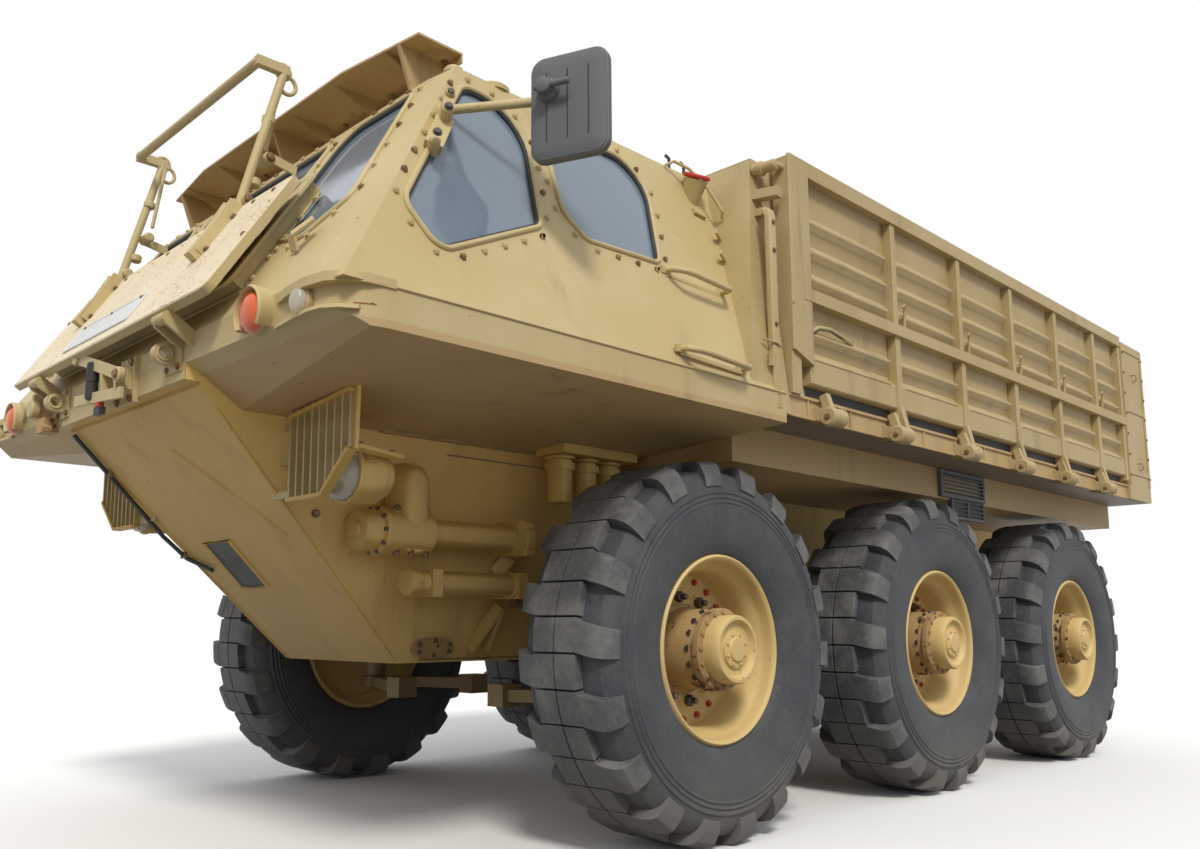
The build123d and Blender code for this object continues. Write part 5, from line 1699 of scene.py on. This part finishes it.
@dataclass
class NoseGear:
    """Brackets, arm and buffer on the upright face under the vane, and what lies on the bow.

    Attributes:
        face: How far ahead the upright face stands.
        arm: How far ahead the lock's arms stand.
        eye: How far out the tow eyes are.
        bow: How much further ahead the bow plate is than it is high.
        slope: Cosine of its slope.
    """

    face: float = 1530
    arm: float = 1588
    eye: float = 443
    bow: float = 130
    slope: float = 0.7071
    pipe: Profile = ((-498, 1352), (-540, 1290), (-560, 1226), (-548, 1120), (-517, 1018), (-430, 940),
        (-317, 894))
    pipe_half: float = 465

    def build(self) -> list[Piece]:
        """Builds the fittings of the nose and of the bow."""
        return [self._latch(), self._shackles(), self._bow()]

    def _latch(self) -> Piece:
        """The vane's lock: brackets, swinging arm, tongue and rubber buffer."""
        shape = Shape(Finish.BODY)
        face, arm = self.face, self.arm
        shape.block((face - 2, -511, 1366), (face + 2, 511, 1416))
        shape.block((face - 2, 45, 1352), (face + 14, 185, 1490))
        for left in (58, 160):
            shape.beam((face + 10, left, 1424), (arm + 6, left, 1418), 14, 66)
        shape.beam((face - 2, -590, 1448), (arm + 4, -590, 1446), 20, 88)
        shape.turn([(34, 0), (34, 22), (28, 28)], (arm - 14, -596, 1440), AHEAD, 20)
        shape.paint(Finish.HUB).block((face - 2, -572, 1350), (arm - 8, -500, 1400))
        shape.beam((arm - 30, -575, 1398), (arm - 14, -478, 1356), 30, 18)
        shape.paint(Finish.BODY).beam((arm, -165, 1540), (arm, 206, 1421), 36, 14, AHEAD)
        shape.beam((arm, -171, 1399), (arm, 214, 1368), 34, 12, AHEAD)
        shape.collar((arm - 4, 206, 1421), AHEAD, 24, 22, 4, 20)
        shape.turn([(16, 0), (20, 3), (20, 26), (16, 30)], (arm - 14, -165, 1534), AHEAD, 20)
        buffer = [(14, 0), (19, 6), (19, 50), (16, 54), (19, 58), (19, 112), (13, 120)]
        shape.paint(Finish.SEAL).turn(buffer, (arm + 2, -30, 1382), (0, 0.03, 1), 20)
        shape.block((arm - 12, 14, 1326), (arm + 8, 60, 1350))
        shape.paint(Finish.RED).block((arm - 10, 26, 1350), (arm + 10, 52, 1364))
        shape.paint(Finish.BOLT)
        for left in (66, 164):
            for up in (1366, 1476):
                shape.bolt((face + 13, left, up), AHEAD, 11, 11, up)
        shape.bolt((arm + 18, 206, 1421), AHEAD, 12, 10)
        return shape.piece("vane_lock", bevel=2)

    def _shackles(self) -> Piece:
        """Pad plates and weld beads round the tow eyes."""
        shape = Shape(Finish.BODY)
        face = self.face
        for sign in SIGNS:
            y = sign * self.eye
            shape.paint(Finish.BODY).block((face - 2, y - 52, 1392), (face + 8, y + 52, 1492))
            for side in (-15, 15):
                shape.tube(circle(spot(1568, y + side, 1443), ACROSS, 20.5, 20), 4, 6, closed=True)
            shape.paint(Finish.BOLT)
            for along in (-38, 38):
                for up in (1406, 1478):
                    shape.bolt((face + 8, y + along, up), AHEAD, 9, 9, up)
        return shape.piece("tow_eye_pads", bevel=1.5)

    def _on_bow(self, left: float, up: float, lift: float = 0) -> Vector:
        """A place on the sloped bow plate."""
        return spot(up + self.bow + lift * self.slope, left, up - lift * self.slope)

    def _bow(self) -> Piece:
        """Weld beads, a clipped pipe and the recess' rim on the bow."""
        shape = Shape(Finish.HULL)
        at = self._on_bow
        shape.tube([at(74, 1238), at(210, 1100), at(330, 968)], 5, 6)
        for sign in SIGNS:
            shape.tube([at(sign * hull_half(up), up) for up in (570, 900, 1300)], 6, 6)
        rim = ((-235, 825), (-47, 825), (-47, 975), (-235, 975))
        shape.tube([at(u, v, 2) for u, v in rim], 7, 6, closed=True)
        # A black plate inside the rim: painted shade of the recess.
        shape.paint(Finish.SEAL).plate([at(u, v, 1) for u, v in rim], (-2, 0, 2))
        shape.tube([at(max(u, -self.pipe_half), v, 12) for u, v in self.pipe], 8, 8)
        shape.paint(Finish.BOLT)
        for u, v in ((-465, 1226), (-440, 950)):
            shape.beam(at(u - 18, v, 8), at(u + 18, v, 8), 14, 24)
        return shape.piece("bow_fittings", bevel=1)


def hull_half(up: float) -> float:
    """How far out the hull's side stands at a height."""
    return 350 + (up - 565) * 0.2


@dataclass
class Suspension:
    """Spring housings, lamps, drain plates and bolts on the hull's sides.

    Attributes:
        line: How far out the spring tubes run.
        upper, lower: Their heights.
        post: Where the upright cylinder stands.
        end, low_end: Front ends of the upper and lower tube.
        lamp: Middle of the headlamp's lens.
    """

    line: float = 508
    upper: float = 990
    lower: float = 830
    post: float = 775
    end: float = 960
    low_end: float = 736
    lamp: Triple = (1130, 704, 1122)
    lamp_ribs: int = 20
    drains: tuple[float, ...] = (560, -900, -2400)
    drain_height: float = 616
    drain_half: Pair = (86, 34)
    side_bolt: Pair = (1069, 1035)
    louvre_out: float = 1084

    def build(self) -> list[Piece]:
        """Builds the fittings of both sides."""
        pieces = []
        for side, sign in SIDES.items():
            pieces += [self._housing(sign).piece(f"spring_housing_{side}", bevel=1.5),
                self._lamp(sign).piece(f"headlamp_{side}", slot="lamp", bevel=1),
                self._hull_side(sign).piece(f"hull_side_fittings_{side}", bevel=1),
                self._louvre(sign).piece(f"louvre_{side}", bevel=1)]
        return pieces

    def _housing(self, sign: int) -> Shape:
        """The upright cylinder, its flanges, the tubes' collars and caps."""
        shape = Shape(Finish.HULL, sign)
        line, upper, lower = self.line, self.upper, self.lower
        axle = upper - 4
        dome = [(66, 0), (71, 6), (71, 160), (66, 186), (50, 212), (28, 225), (10, 228)]
        shape.turn(dome, (self.post, line, 984), UP, 36)
        shape.turn([(60, 0), (73, 8), (73, 196), (64, 204)], (self.post - 78, line, axle), AHEAD, 36)
        cap = [(79, 0), (79, 22), (66, 28), (66, 80), (60, 90), (30, 94), (28, 102), (10, 104)]
        shape.turn(cap, (self.end - 85, line, axle), AHEAD, 36)
        for start, height, radius in ((262, upper, 66), (282, upper, 56), (300, lower, 46)):
            shape.collar((start, line, height), AHEAD, radius, 40, (6, 4), 28)
        shape.turn([(44, 0), (46, 6), (46, 34), (38, 42), (16, 44)], (self.low_end, line, lower), AHEAD, 24)
        for k in range(4):
            angle = TURN * (k + 0.5) / 4
            y, z = line + 66 * math.cos(angle), upper + 66 * math.sin(angle)
            shape.rod((268, y, z), (312, y, z), 17)
        shape.beam((300, line - 40, upper - 60), (352, line - 60, lower + 40), 18, 50)
        shape.block((-130, 556, 1288), (252, 700, 1324))
        for duct in (195, 72, -42):
            for height, radius in ((1272, 55), (1240, 52)):
                shape.collar((duct, 620, height), UP, radius, 14, (5, 3), 28)
        for start, end in ((400, 330), (330, 330)):
            shape.beam((start, 372, 606), (end, 452, 758), 46, 16, AHEAD)
        shape.paint(Finish.NUT)
        for k in range(10):
            angle = TURN * k / 10
            place = (self.end - 63, line + 70 * math.cos(angle), axle + 70 * math.sin(angle))
            shape.bolt(place, AHEAD, 7.5, 9, angle)
        for k in range(3):
            for height, lean in ((-66, -0.6), (62, 0.6)):
                foot = shape.at((self.post - 46 + 56 * k, line + 36, upper + height))
                way = shape.way((0, 0.5, lean))
                shape.paint(Finish.HULL).turn([(15, -12), (15, 6)], foot, way, 12)
                shape.paint(Finish.BOLT).bolt(foot + way * 8 * MM, way, 10, 12, k)
        return shape

    def _lamp(self, sign: int) -> Shape:
        """Headlamp lens with ribs, rim, its carrying bar and straps."""
        shape = Shape(Finish.HULL, sign)
        start, out, up = self.lamp
        middle = shape.at(self.lamp)
        rim = [(78, -6), (86, -12), (88, -4), (87, 4), (80, 6), (78, 2)]
        shape.turn(rim, middle, AHEAD, 40, closed=True)
        lens = [(78, -4), (77, 26), (70, 38), (50, 46), (26, 50), (6, 51)]
        shape.paint(Finish.CLEAR).turn(lens, middle, AHEAD, 40)
        for k in range(self.lamp_ribs):
            angle = TURN * k / self.lamp_ribs
            spoke = Vector((0, math.cos(angle), math.sin(angle)))
            shape.tube([middle + (spoke * r + AHEAD * a) * MM for r, a in ((78, 0), (77, 28), (68, 40))], 2.2,
                6)
        strap = [(start - 34, out + 92 * math.cos(a), up + 92 * math.sin(a)) for a in (0.3, 0.9, 1.5, 2.1)]
        shape.paint(Finish.HULL)
        for foot, head in zip(strap, strap[1:]):
            shape.beam(foot, head, 34, 5, Vector((0, 0.1, 1)))
        shape.turn([(83, -4), (83, -30), (80, -92), (60, -128), (26, -140)], middle, AHEAD, 40)
        bars = (((84, 872, 1172), (-120, 790, 1172), 40, 12), ((-60, 800, 1172), (-60, out, up + 78), 34, 8),
            ((-60, out, up + 80), (-60, 520, 1240), 34, 8), ((84, 880, 1336), (84, 874, 1162), 12, 30),
            ((84, 556, 1284), (84, 556, 1052), 10, 30), ((92, 556, 1292), (92, 880, 1326), 30, 12),
            ((92, 556, 1050), (92, 742, 1050), 30, 12), ((92, 742, 1050), (92, 874, 1164), 30, 12))
        for (a, *foot), (b, *head), width, depth in bars:
            shape.beam((start + a, *foot), (start + b, *head), width, depth)
        shape.paint(Finish.BOLT)
        for a, y in ((-90, 802), (60, 862)):
            shape.bolt((start + a, y, 1178), UP, 10, 10, start + a)
        return shape

    def _hull_side(self, sign: int) -> Shape:
        """Ledge strips, drain plates, welds and bolts of the hull's side."""
        shape = Shape(Finish.UNDER, sign)
        out = shape.way((0, 1, -0.2)).normalized()
        shape.beam((883, 512, 1305), (140, 512, 1309), 36, 10)

        def oval(ahead: float, less: float, angle: float, lift: float) -> Vector:
            """A place on a drain plate's outline, drawn in and lifted off the hull."""
            long, tall = self.drain_half
            up = self.drain_height + (tall - less) * math.sin(angle)
            return shape.at((ahead + (long - less * 1.4) * math.cos(angle), hull_half(up) + lift, up))

        for ahead in self.drains:
            shape.paint(Finish.HUB).plate([oval(ahead, 0, TURN * k / 24, -1) for k in range(24)], out * 24)
            shape.paint(Finish.NUT)
            for k in range(6):
                angle = TURN * (k + 0.5) / 6
                shape.bolt(oval(ahead, 10, angle, 22), out, 7, 8, angle)
        ahead, up = self.side_bolt
        shape.paint(Finish.BOLT).bolt((ahead, hull_half(up) - 1, up), out, 12, 12, up)
        shape.paint(Finish.UNDER)
        for up, rear in ((1262, -3980), (575, -3650)):
            shape.tube([(600, hull_half(up), up), (rear, hull_half(up), up)], 4, 6)
        return shape

    def _louvre(self, sign: int) -> Shape:
        """A slatted opening in the sponson between the rear wheels, with dark slats and the shade behind them
        painted black.
        """
        shape = Shape(Finish.SEAL, sign)
        out = self.louvre_out
        # A black block behind the slats: painted shade inside the opening.
        shape.block((-2215, out - 14, 1176), (-1876, out - 4, 1268))
        shape.paint(Finish.SHELL).beam((-2218, out, 1182), (-1874, out, 1182), 16, 14)
        for ahead in (-2210, -2045, -1882):
            shape.beam((ahead, out, 1180), (ahead, out, 1268), 16, 14, AHEAD)
        for k in range(4):
            up = 1200 + 20 * k
            shape.beam((-2212, out + 1, up), (-1880, out + 1, up), 14, 4, (0, -0.7, 1))
        return shape


@dataclass
class Stern:
    """Covers, lamps and the tow hitch's fittings at the back."""

    face: float = -4000
    cover_left: float = 268
    post_face: float = -4081

    def build(self) -> list[Piece]:
        """Builds the fittings of the stern."""
        return [self._covers(), self._hitch(), self._lamps(), self._bed_edge()]

    def _covers(self) -> Piece:
        """Bolted covers on the hull's stern."""
        shape = Shape(Finish.HULL)
        edge = Outline.box(-100, 1024, 100, 1222, 30)
        for sign in SIGNS:
            middle = sign * self.cover_left

            def seat(left: float, up: float, out: float) -> Vector:
                """A place on this cover."""
                return spot(self.face - out, middle + left, up)

            shape.paint(Finish.HULL).shell(edge, seat, ((0, -2), (0, 7), (-3, 10), (-60, 10)), 5)
            shape.paint(Finish.BOLT)
            for u, v in edge.spaced(-18, 80):
                shape.bolt(seat(u, v, 10), -AHEAD, 8, 8, u)
        return shape.piece("stern_covers", bevel=1)

    def _hitch(self) -> Piece:
        """Back plate bolts, hook jaw and latch of the tow hitch."""
        shape = Shape(Finish.HUB)
        plate = self.face - 30
        jaw = [(80, 0), (80, 20), (62, 28), (58, 90), (66, 94), (66, 110), (50, 116)]
        shape.turn(jaw, (plate, 0, 1130), -AHEAD, 32)
        shape.beam((self.face - 150, 0, 1192), (self.face - 262, 0, 1206), 40, 22)
        shape.beam((self.face - 262, 0, 1210), (self.face - 296, 0, 1150), 40, 18)
        shape.paint(Finish.NUT)
        for left in (-84, 84):
            for up in (1056, 1204):
                shape.bolt((plate, left, up), -AHEAD, 14, 13, up)
        shape.rod((self.face - 160, -34, 1196), (self.face - 160, 34, 1196), 9)
        return shape.piece("hitch_fittings", bevel=1.5)

    def _lamps(self) -> Piece:
        """Lenses, rims and bolts of the tail lamps."""
        shape = Shape(Finish.SHELL)
        dome = [(30, 6), (29, 20), (24, 28), (10, 32), (3, 32.5)]
        for shape.sign in SIGNS:
            for up, finish in ((1604, Finish.REDLENS), (1536, Finish.AMBER)):
                foot = (self.post_face, 1235, up)
                shape.paint(Finish.SHELL).turn([(36, -2), (36, 6), (32, 8)], foot, -AHEAD, 24)
                shape.paint(finish).turn(dome, foot, -AHEAD, 24)
            shape.paint(Finish.BOLT)
            for up in (1512, 1628):
                for left in (1200, 1270):
                    shape.bolt((self.post_face, left, up), -AHEAD, 5, 5, up)
        return shape.piece("tail_lamp_lenses", slot="lamp")

    def _bed_edge(self) -> Piece:
        """Lashing rings along the bed's rear edge."""
        shape = Shape(Finish.BOARD)
        for sign in SIGNS:
            for left in (420, 1000):
                y = sign * left
                shape.paint(Finish.BOARD).block((-4051, y - 30, 1416), (-4045, y + 30, 1464))
                ring = circle(spot(-4059, y, 1410), Vector((0.2, 1, 0)), 26, 18)
                shape.paint(Finish.STEEL).tube(ring, 6, 8, closed=True)
        return shape.piece("bed_rear_rings", bevel=1)


@dataclass
class Interior:
    """Seats, the driver's panel and levers.

    Attributes:
        places: Middle of each seat, ahead of the front axle and to the left.
        floor: Height of the floor.
        half: Half of a cushion's width.
        back_half: Half of a backrest's height.
        channels: Distance between the sewn channels, and half the number of them.
    """

    places: Profile = ((680, 0), (200, 640), (200, -640))
    floor: float = 1405
    half: float = 205
    back_half: float = 158
    form: Profile = ((-44, 4), (-16, 4), (-7, 14), (-5, 34), (-5, 56), (-10, 74), (-24, 86), (-60, 92))
    voxel: float = 9
    pressure: float = 4
    swell_frames: int = 20
    swell_limit: float = 10
    channels: tuple[float, int] = (82, 2)
    channel_depth: float = 9
    channel_half: float = 9
    dials: tuple[float, ...] = (-300, -190, -80, 80, 190, 300)
    wheel_middle: Triple = (980, 0, 1830)
    column_foot: Triple = (1180, 0, 1755)

    def build(self) -> list[Piece]:
        """Builds the seats and the controls."""
        pieces = [self._frames(), self._controls(), self._fittings()]
        flat = self._pad_mesh(self.half - 4)
        tall = self._pad_mesh(self.back_half)
        for k, (ahead, left) in enumerate(self.places, start=1):
            pieces.append(self._pad(f"seat_cushion_{k}", flat, spot(ahead + 4, left, self.floor + 236), 0))
            pieces.append(self._pad(f"seat_back_{k}", tall, spot(ahead - 296, left, self.floor + 530), 90))
        return pieces

    def _pad_mesh(self, long: float) -> bpy.types.Mesh:
        """Swells a closed pad with cloth simulation, then sews its channels.

        Args:
            long: Half of its length.

        Returns:
            The pad's mesh, lying flat with its foot at the origin.
        """
        edge = Outline.box(-long, -self.half, long, self.half, 46)
        pad = Shape(Finish.SEAT).shell(edge, lambda u, v, up: Vector((u, v, up)) * MM, self.form,
            6).piece("pad_form")
        voxels = pad.modifiers.new("voxels", "REMESH")
        voxels.mode = "VOXEL"
        voxels.voxel_size = self.voxel * MM
        self._apply(pad)
        self._swell(pad)
        pitch, side = self.channels
        for vertex in pad.data.vertices:
            vertex.co.z = max(vertex.co.z, MM)
            if vertex.co.z > 40 * MM:
                away = min(abs(vertex.co.y / MM - k * pitch) for k in range(-side, side + 1))
                fade = min(max((long - 30 - abs(vertex.co.x) / MM) / 30, 0), 1)
                sink = self.channel_depth * fade * math.exp(-(away / self.channel_half) ** 2)
                vertex.co.z -= sink * MM
        data = pad.data
        bpy.data.objects.remove(pad)
        return data

    def _swell(self, pad: Piece) -> None:
        """Blows a pad up a little, no point further than the limit."""
        rest = [v.co.copy() for v in pad.data.vertices]
        cloth = pad.modifiers.new("swelling", "CLOTH")
        cloth.settings.use_pressure = True
        cloth.settings.uniform_pressure_force = self.pressure
        cloth.settings.effector_weights.gravity = 0
        for step in range(1, self.swell_frames + 1):
            bpy.context.scene.frame_set(step)
        self._apply(pad)
        bpy.context.scene.frame_set(1)
        for vertex, start in zip(pad.data.vertices, rest):
            move = vertex.co - start
            if move.length > self.swell_limit * MM:
                vertex.co = start + move.normalized() * self.swell_limit * MM

    def _apply(self, piece: Piece) -> None:
        """Turns a piece's modifiers into its mesh."""
        source = piece.evaluated_get(bpy.context.evaluated_depsgraph_get())
        data = bpy.data.meshes.new_from_object(source)
        piece.modifiers.clear()
        piece.data = data

    def _pad(self, name: str, form: bpy.types.Mesh, place: Vector, turn: float) -> Piece:
        """Sets one pad on its frame.

        Args:
            name: The piece's name.
            form: The pad's mesh.
            place: Where the middle of its foot goes.
            turn: Degrees that it stands up.

        Returns:
            The pad.
        """
        data = form.copy()
        data.transform(Matrix.Translation(place) @ Matrix.Rotation(math.radians(turn), 4, "Y"))
        data.shade_smooth()
        pad = show(name, data)
        smooth = pad.modifiers.new("smooth", "SUBSURF")
        smooth.levels = smooth.render_levels = 1
        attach(pad, "hull")
        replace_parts(pad, "seats")
        return pad

    def _frames(self) -> Piece:
        """Pan, legs, back plate and side straps of each seat."""
        shape = Shape(Finish.DASH)
        floor, pan = self.floor, self.floor + 226
        for a, y in self.places:
            shape.block((a - 214, y - 214, pan), (a + 214, y + 214, pan + 9))
            for u in (-180, 180):
                for v in (-180, 180):
                    shape.rod((a + u, y + v, floor), (a + u, y + v, pan + 2), 16)
                shape.beam((a + u, y - 200, floor + 8), (a + u, y + 200, floor + 8), 50, 12)
            shape.block((a - 300, y - 208, floor + 200), (a - 294, y + 208, floor + 690))
            for v in (-190, 190):
                shape.beam((a - 285, y + v, floor + 500), (a - 205, y + v, pan), 10, 30)
        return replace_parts(shape.piece("seat_frames", slot="dash_paint", bevel=2), "seats")

    def _controls(self) -> Piece:
        """Panel with bezels and switches, steering wheel, column and spokes."""
        shape = Shape(Finish.DASH)
        section = ((1122, 1412), (1196, 1412), (1196, 1780), (1150, 1780), (1122, 1700))
        shape.plate([(a, -420, z) for a, z in section], (0, 840, 0))
        lean = Vector((-0.94, 0, 0.34)).normalized()
        for left in self.dials:
            dial = (1136, left, 1742)
            shape.paint(Finish.SEAL).turn([(44, 0), (44, 12), (37, 16), (35, 12)], dial, lean, 24)
            shape.paint(Finish.PLATE).turn([(34, 8.5), (30, 10.5)], dial, lean, 24)
        shape.paint(Finish.NUT)
        for k in range(9):
            left = -320 + 80 * k
            shape.rod((1122, left, 1668), (1100, left, 1674), 6, 8)
        shape.paint(Finish.DASH).rod(self.column_foot, (984, 0, 1829), 24, 20)
        hub = spot(*self.wheel_middle)
        axis = (hub - spot(*self.column_foot)).normalized()
        shape.paint(Finish.SEAL).tube(circle(hub, axis, 215, 48), 14, 12, closed=True)
        shape.turn([(46, -20), (50, 0), (40, 18), (14, 24)], hub, axis, 24).paint(Finish.DASH)
        for end in circle(hub, axis, 210, 3, 0.5):
            shape.beam(hub, end, 26, 9, axis)
        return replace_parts(shape.piece("driver_panel", slot="dash_paint", bevel=1.5), "driver_controls")

    def _fittings(self) -> Piece:
        """Gear and brake levers and the pedals."""
        shape = Shape(Finish.DASH)
        knob = [(12, -20), (26, -6), (28, 10), (18, 26), (4, 30)]
        for left, lean in ((250, 100), (310, 60), (-250, 120)):
            path = [(800, left, 1410), (810, left, 1530), (800 + lean, left, 1770)]
            shape.paint(Finish.DASH).tube(path, 10, 8)
            shape.paint(Finish.SEAL).turn(knob, path[-1], UP, 20)
        for left in (-120, 0, 120):
            shape.paint(Finish.DASH).beam((1100, left, 1412), (1060, left, 1500), 18, 12)
            shape.paint(Finish.SEAL).beam((1072, left, 1470), (1052, left, 1530), 80, 14)
        return shape.piece("levers_and_pedals", slot="dash_paint", bevel=1)


FINISHES = {
    Finish.HULL: ("hull_tub", "suspension_tubes"),
    Finish.UNDER: ("hull_sponsons", "suspension_arms", "rear_hub_carriers", "knuckle"),
    Finish.BED: ("bed_floor",),
    Finish.BOARD: ("drop_side_left", "drop_side_right", "tailgate", "bed_posts", "headboard"),
    Finish.VANE: ("trim_vane",),
    Finish.SHADE: ("visor",),
    Finish.GLASS: ("cab_glass",),
    # The side grilles take the near-black shell plastic: painted shade under the bed.
    Finish.SHELL: ("side_grilles",),
    Finish.IRON: ("engine",),
    Finish.SEAT: ("seats",),
    Finish.DASH: ("driver_controls",),
    Finish.TYRE: ("tyre",),
    Finish.RIM: ("rim",),
}
ASSEMBLIES = (WindowTrim, CabDetails, Roof, Mirrors, Board, Corner, Shoulder, Handles, Tailgate, Vane, NoseGear,
    Suspension, Stern, Interior)


def node_finish(node: str) -> Finish:
    """The finish of a CAD node, found by its name or the start of it."""
    return next((finish for finish, starts in FINISHES.items() if node.startswith(starts)), Finish.BODY)


# ---------------------------------------------------------------- camera, light and floor


@dataclass
class Studio:
    """A pale floor, soft light and the camera."""

    eye: Triple = (2695.0, 3195.0, 702.0)
    heading: float = 226.22
    pitch: float = 8.02
    lens: float = 30.57
    sensor: float = 36.0
    shift: Pair = (0.0388, 0.0449)
    far: float = 300.0
    floor_half: float = 60.0
    sun_angle: float = 12.0
    sun_strength: float = 2.1
    sun_colour: Triple = (1.0, 0.96, 0.88)
    sun_toward: Triple = (0.55, 0.75, 0.95)
    sky_strength: float = 0.95

    def build(self) -> None:
        """Sets up the whole studio."""
        self._camera()
        self._floor()
        self._sky()
        self._sun()

    def _camera(self) -> None:
        """A camera low beside the front axle, looking up and back along the truck."""
        data = bpy.data.cameras.new("camera")
        data.lens = self.lens
        data.sensor_width = self.sensor
        data.shift_x, data.shift_y = self.shift
        data.clip_end = self.far
        camera = show("camera", data)
        yaw, pitch = math.radians(self.heading), math.radians(self.pitch)
        look = Vector((math.cos(yaw) * math.cos(pitch), math.sin(yaw) * math.cos(pitch), math.sin(pitch)))
        right = Vector((math.sin(yaw), -math.cos(yaw), 0))
        turn = Matrix((right, right.cross(look), -look)).transposed()
        camera.matrix_world = Matrix.Translation(spot(*self.eye)) @ turn.to_4x4()
        bpy.context.scene.camera = camera

    def _floor(self) -> None:
        """A plain floor that shows pale and sends little light up."""
        h = self.floor_half
        data = bpy.data.meshes.new("floor")
        data.from_pydata([(-h, -h, 0), (h, -h, 0), (h, h, 0), (-h, h, 0)], [], [(0, 1, 2, 3)])
        material, g, shader = new_material("pale_floor")
        g.set(shader, Base_Color=g.mix(g.seen(), (0.20, 0.18, 0.16), (0.86, 0.86, 0.86)), Roughness=1.0,
            Specular_IOR_Level=0.0)
        data.materials.append(material)
        show("floor", data)

    def _sky(self) -> None:
        """An even sky, brighter overhead, that shows white."""
        world = bpy.data.worlds.new("sky")
        bpy.context.scene.world = world
        world.use_nodes = True
        g = Graph(world.node_tree)
        height = g.add("SeparateXYZ", Vector=g.add("TexCoord").outputs["Generated"]).outputs["Z"]
        dome = g.mix(g.band(height, -0.1, 0.8), (0.42, 0.44, 0.48), (0.98, 0.99, 1.0))
        seen = g.seen()
        strength = g.math("ADD", g.math("MULTIPLY", seen, 1.0 - self.sky_strength), self.sky_strength)
        g.set(world.node_tree.nodes["Background"], Color=g.mix(seen, dome, (1.0, 1.0, 1.0)), Strength=strength)

    def _sun(self) -> None:
        """A large soft sun high on the left, ahead of the truck."""
        data = bpy.data.lights.new("sun", "SUN")
        data.energy = self.sun_strength
        data.angle = math.radians(self.sun_angle)
        data.color = self.sun_colour
        toward = Vector(self.sun_toward).normalized()
        show("sun", data).rotation_euler = toward.to_track_quat("Z", "Y").to_euler()


def main() -> None:
    """Builds the sub-assemblies in order and reports each piece."""
    logging.basicConfig(level=logging.INFO, format="%(message)s")
    bpy.context.scene.view_settings.view_transform = "Standard"
    Studio().build()
    for node in frame["nodes"]:
        dress(node, node_finish(node))
    pieces: list[Piece] = []
    for axle in AXLES:
        for side in SIDES:
            pieces += [Tyre().build(axle, side), *Wheel().build(axle, side)]
    for assembly in ASSEMBLIES:
        pieces += assembly().build()
    for piece in pieces:
        log.info("%s rides on %s", piece.name, piece["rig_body"])


if __name__ == "__main__":
    main()
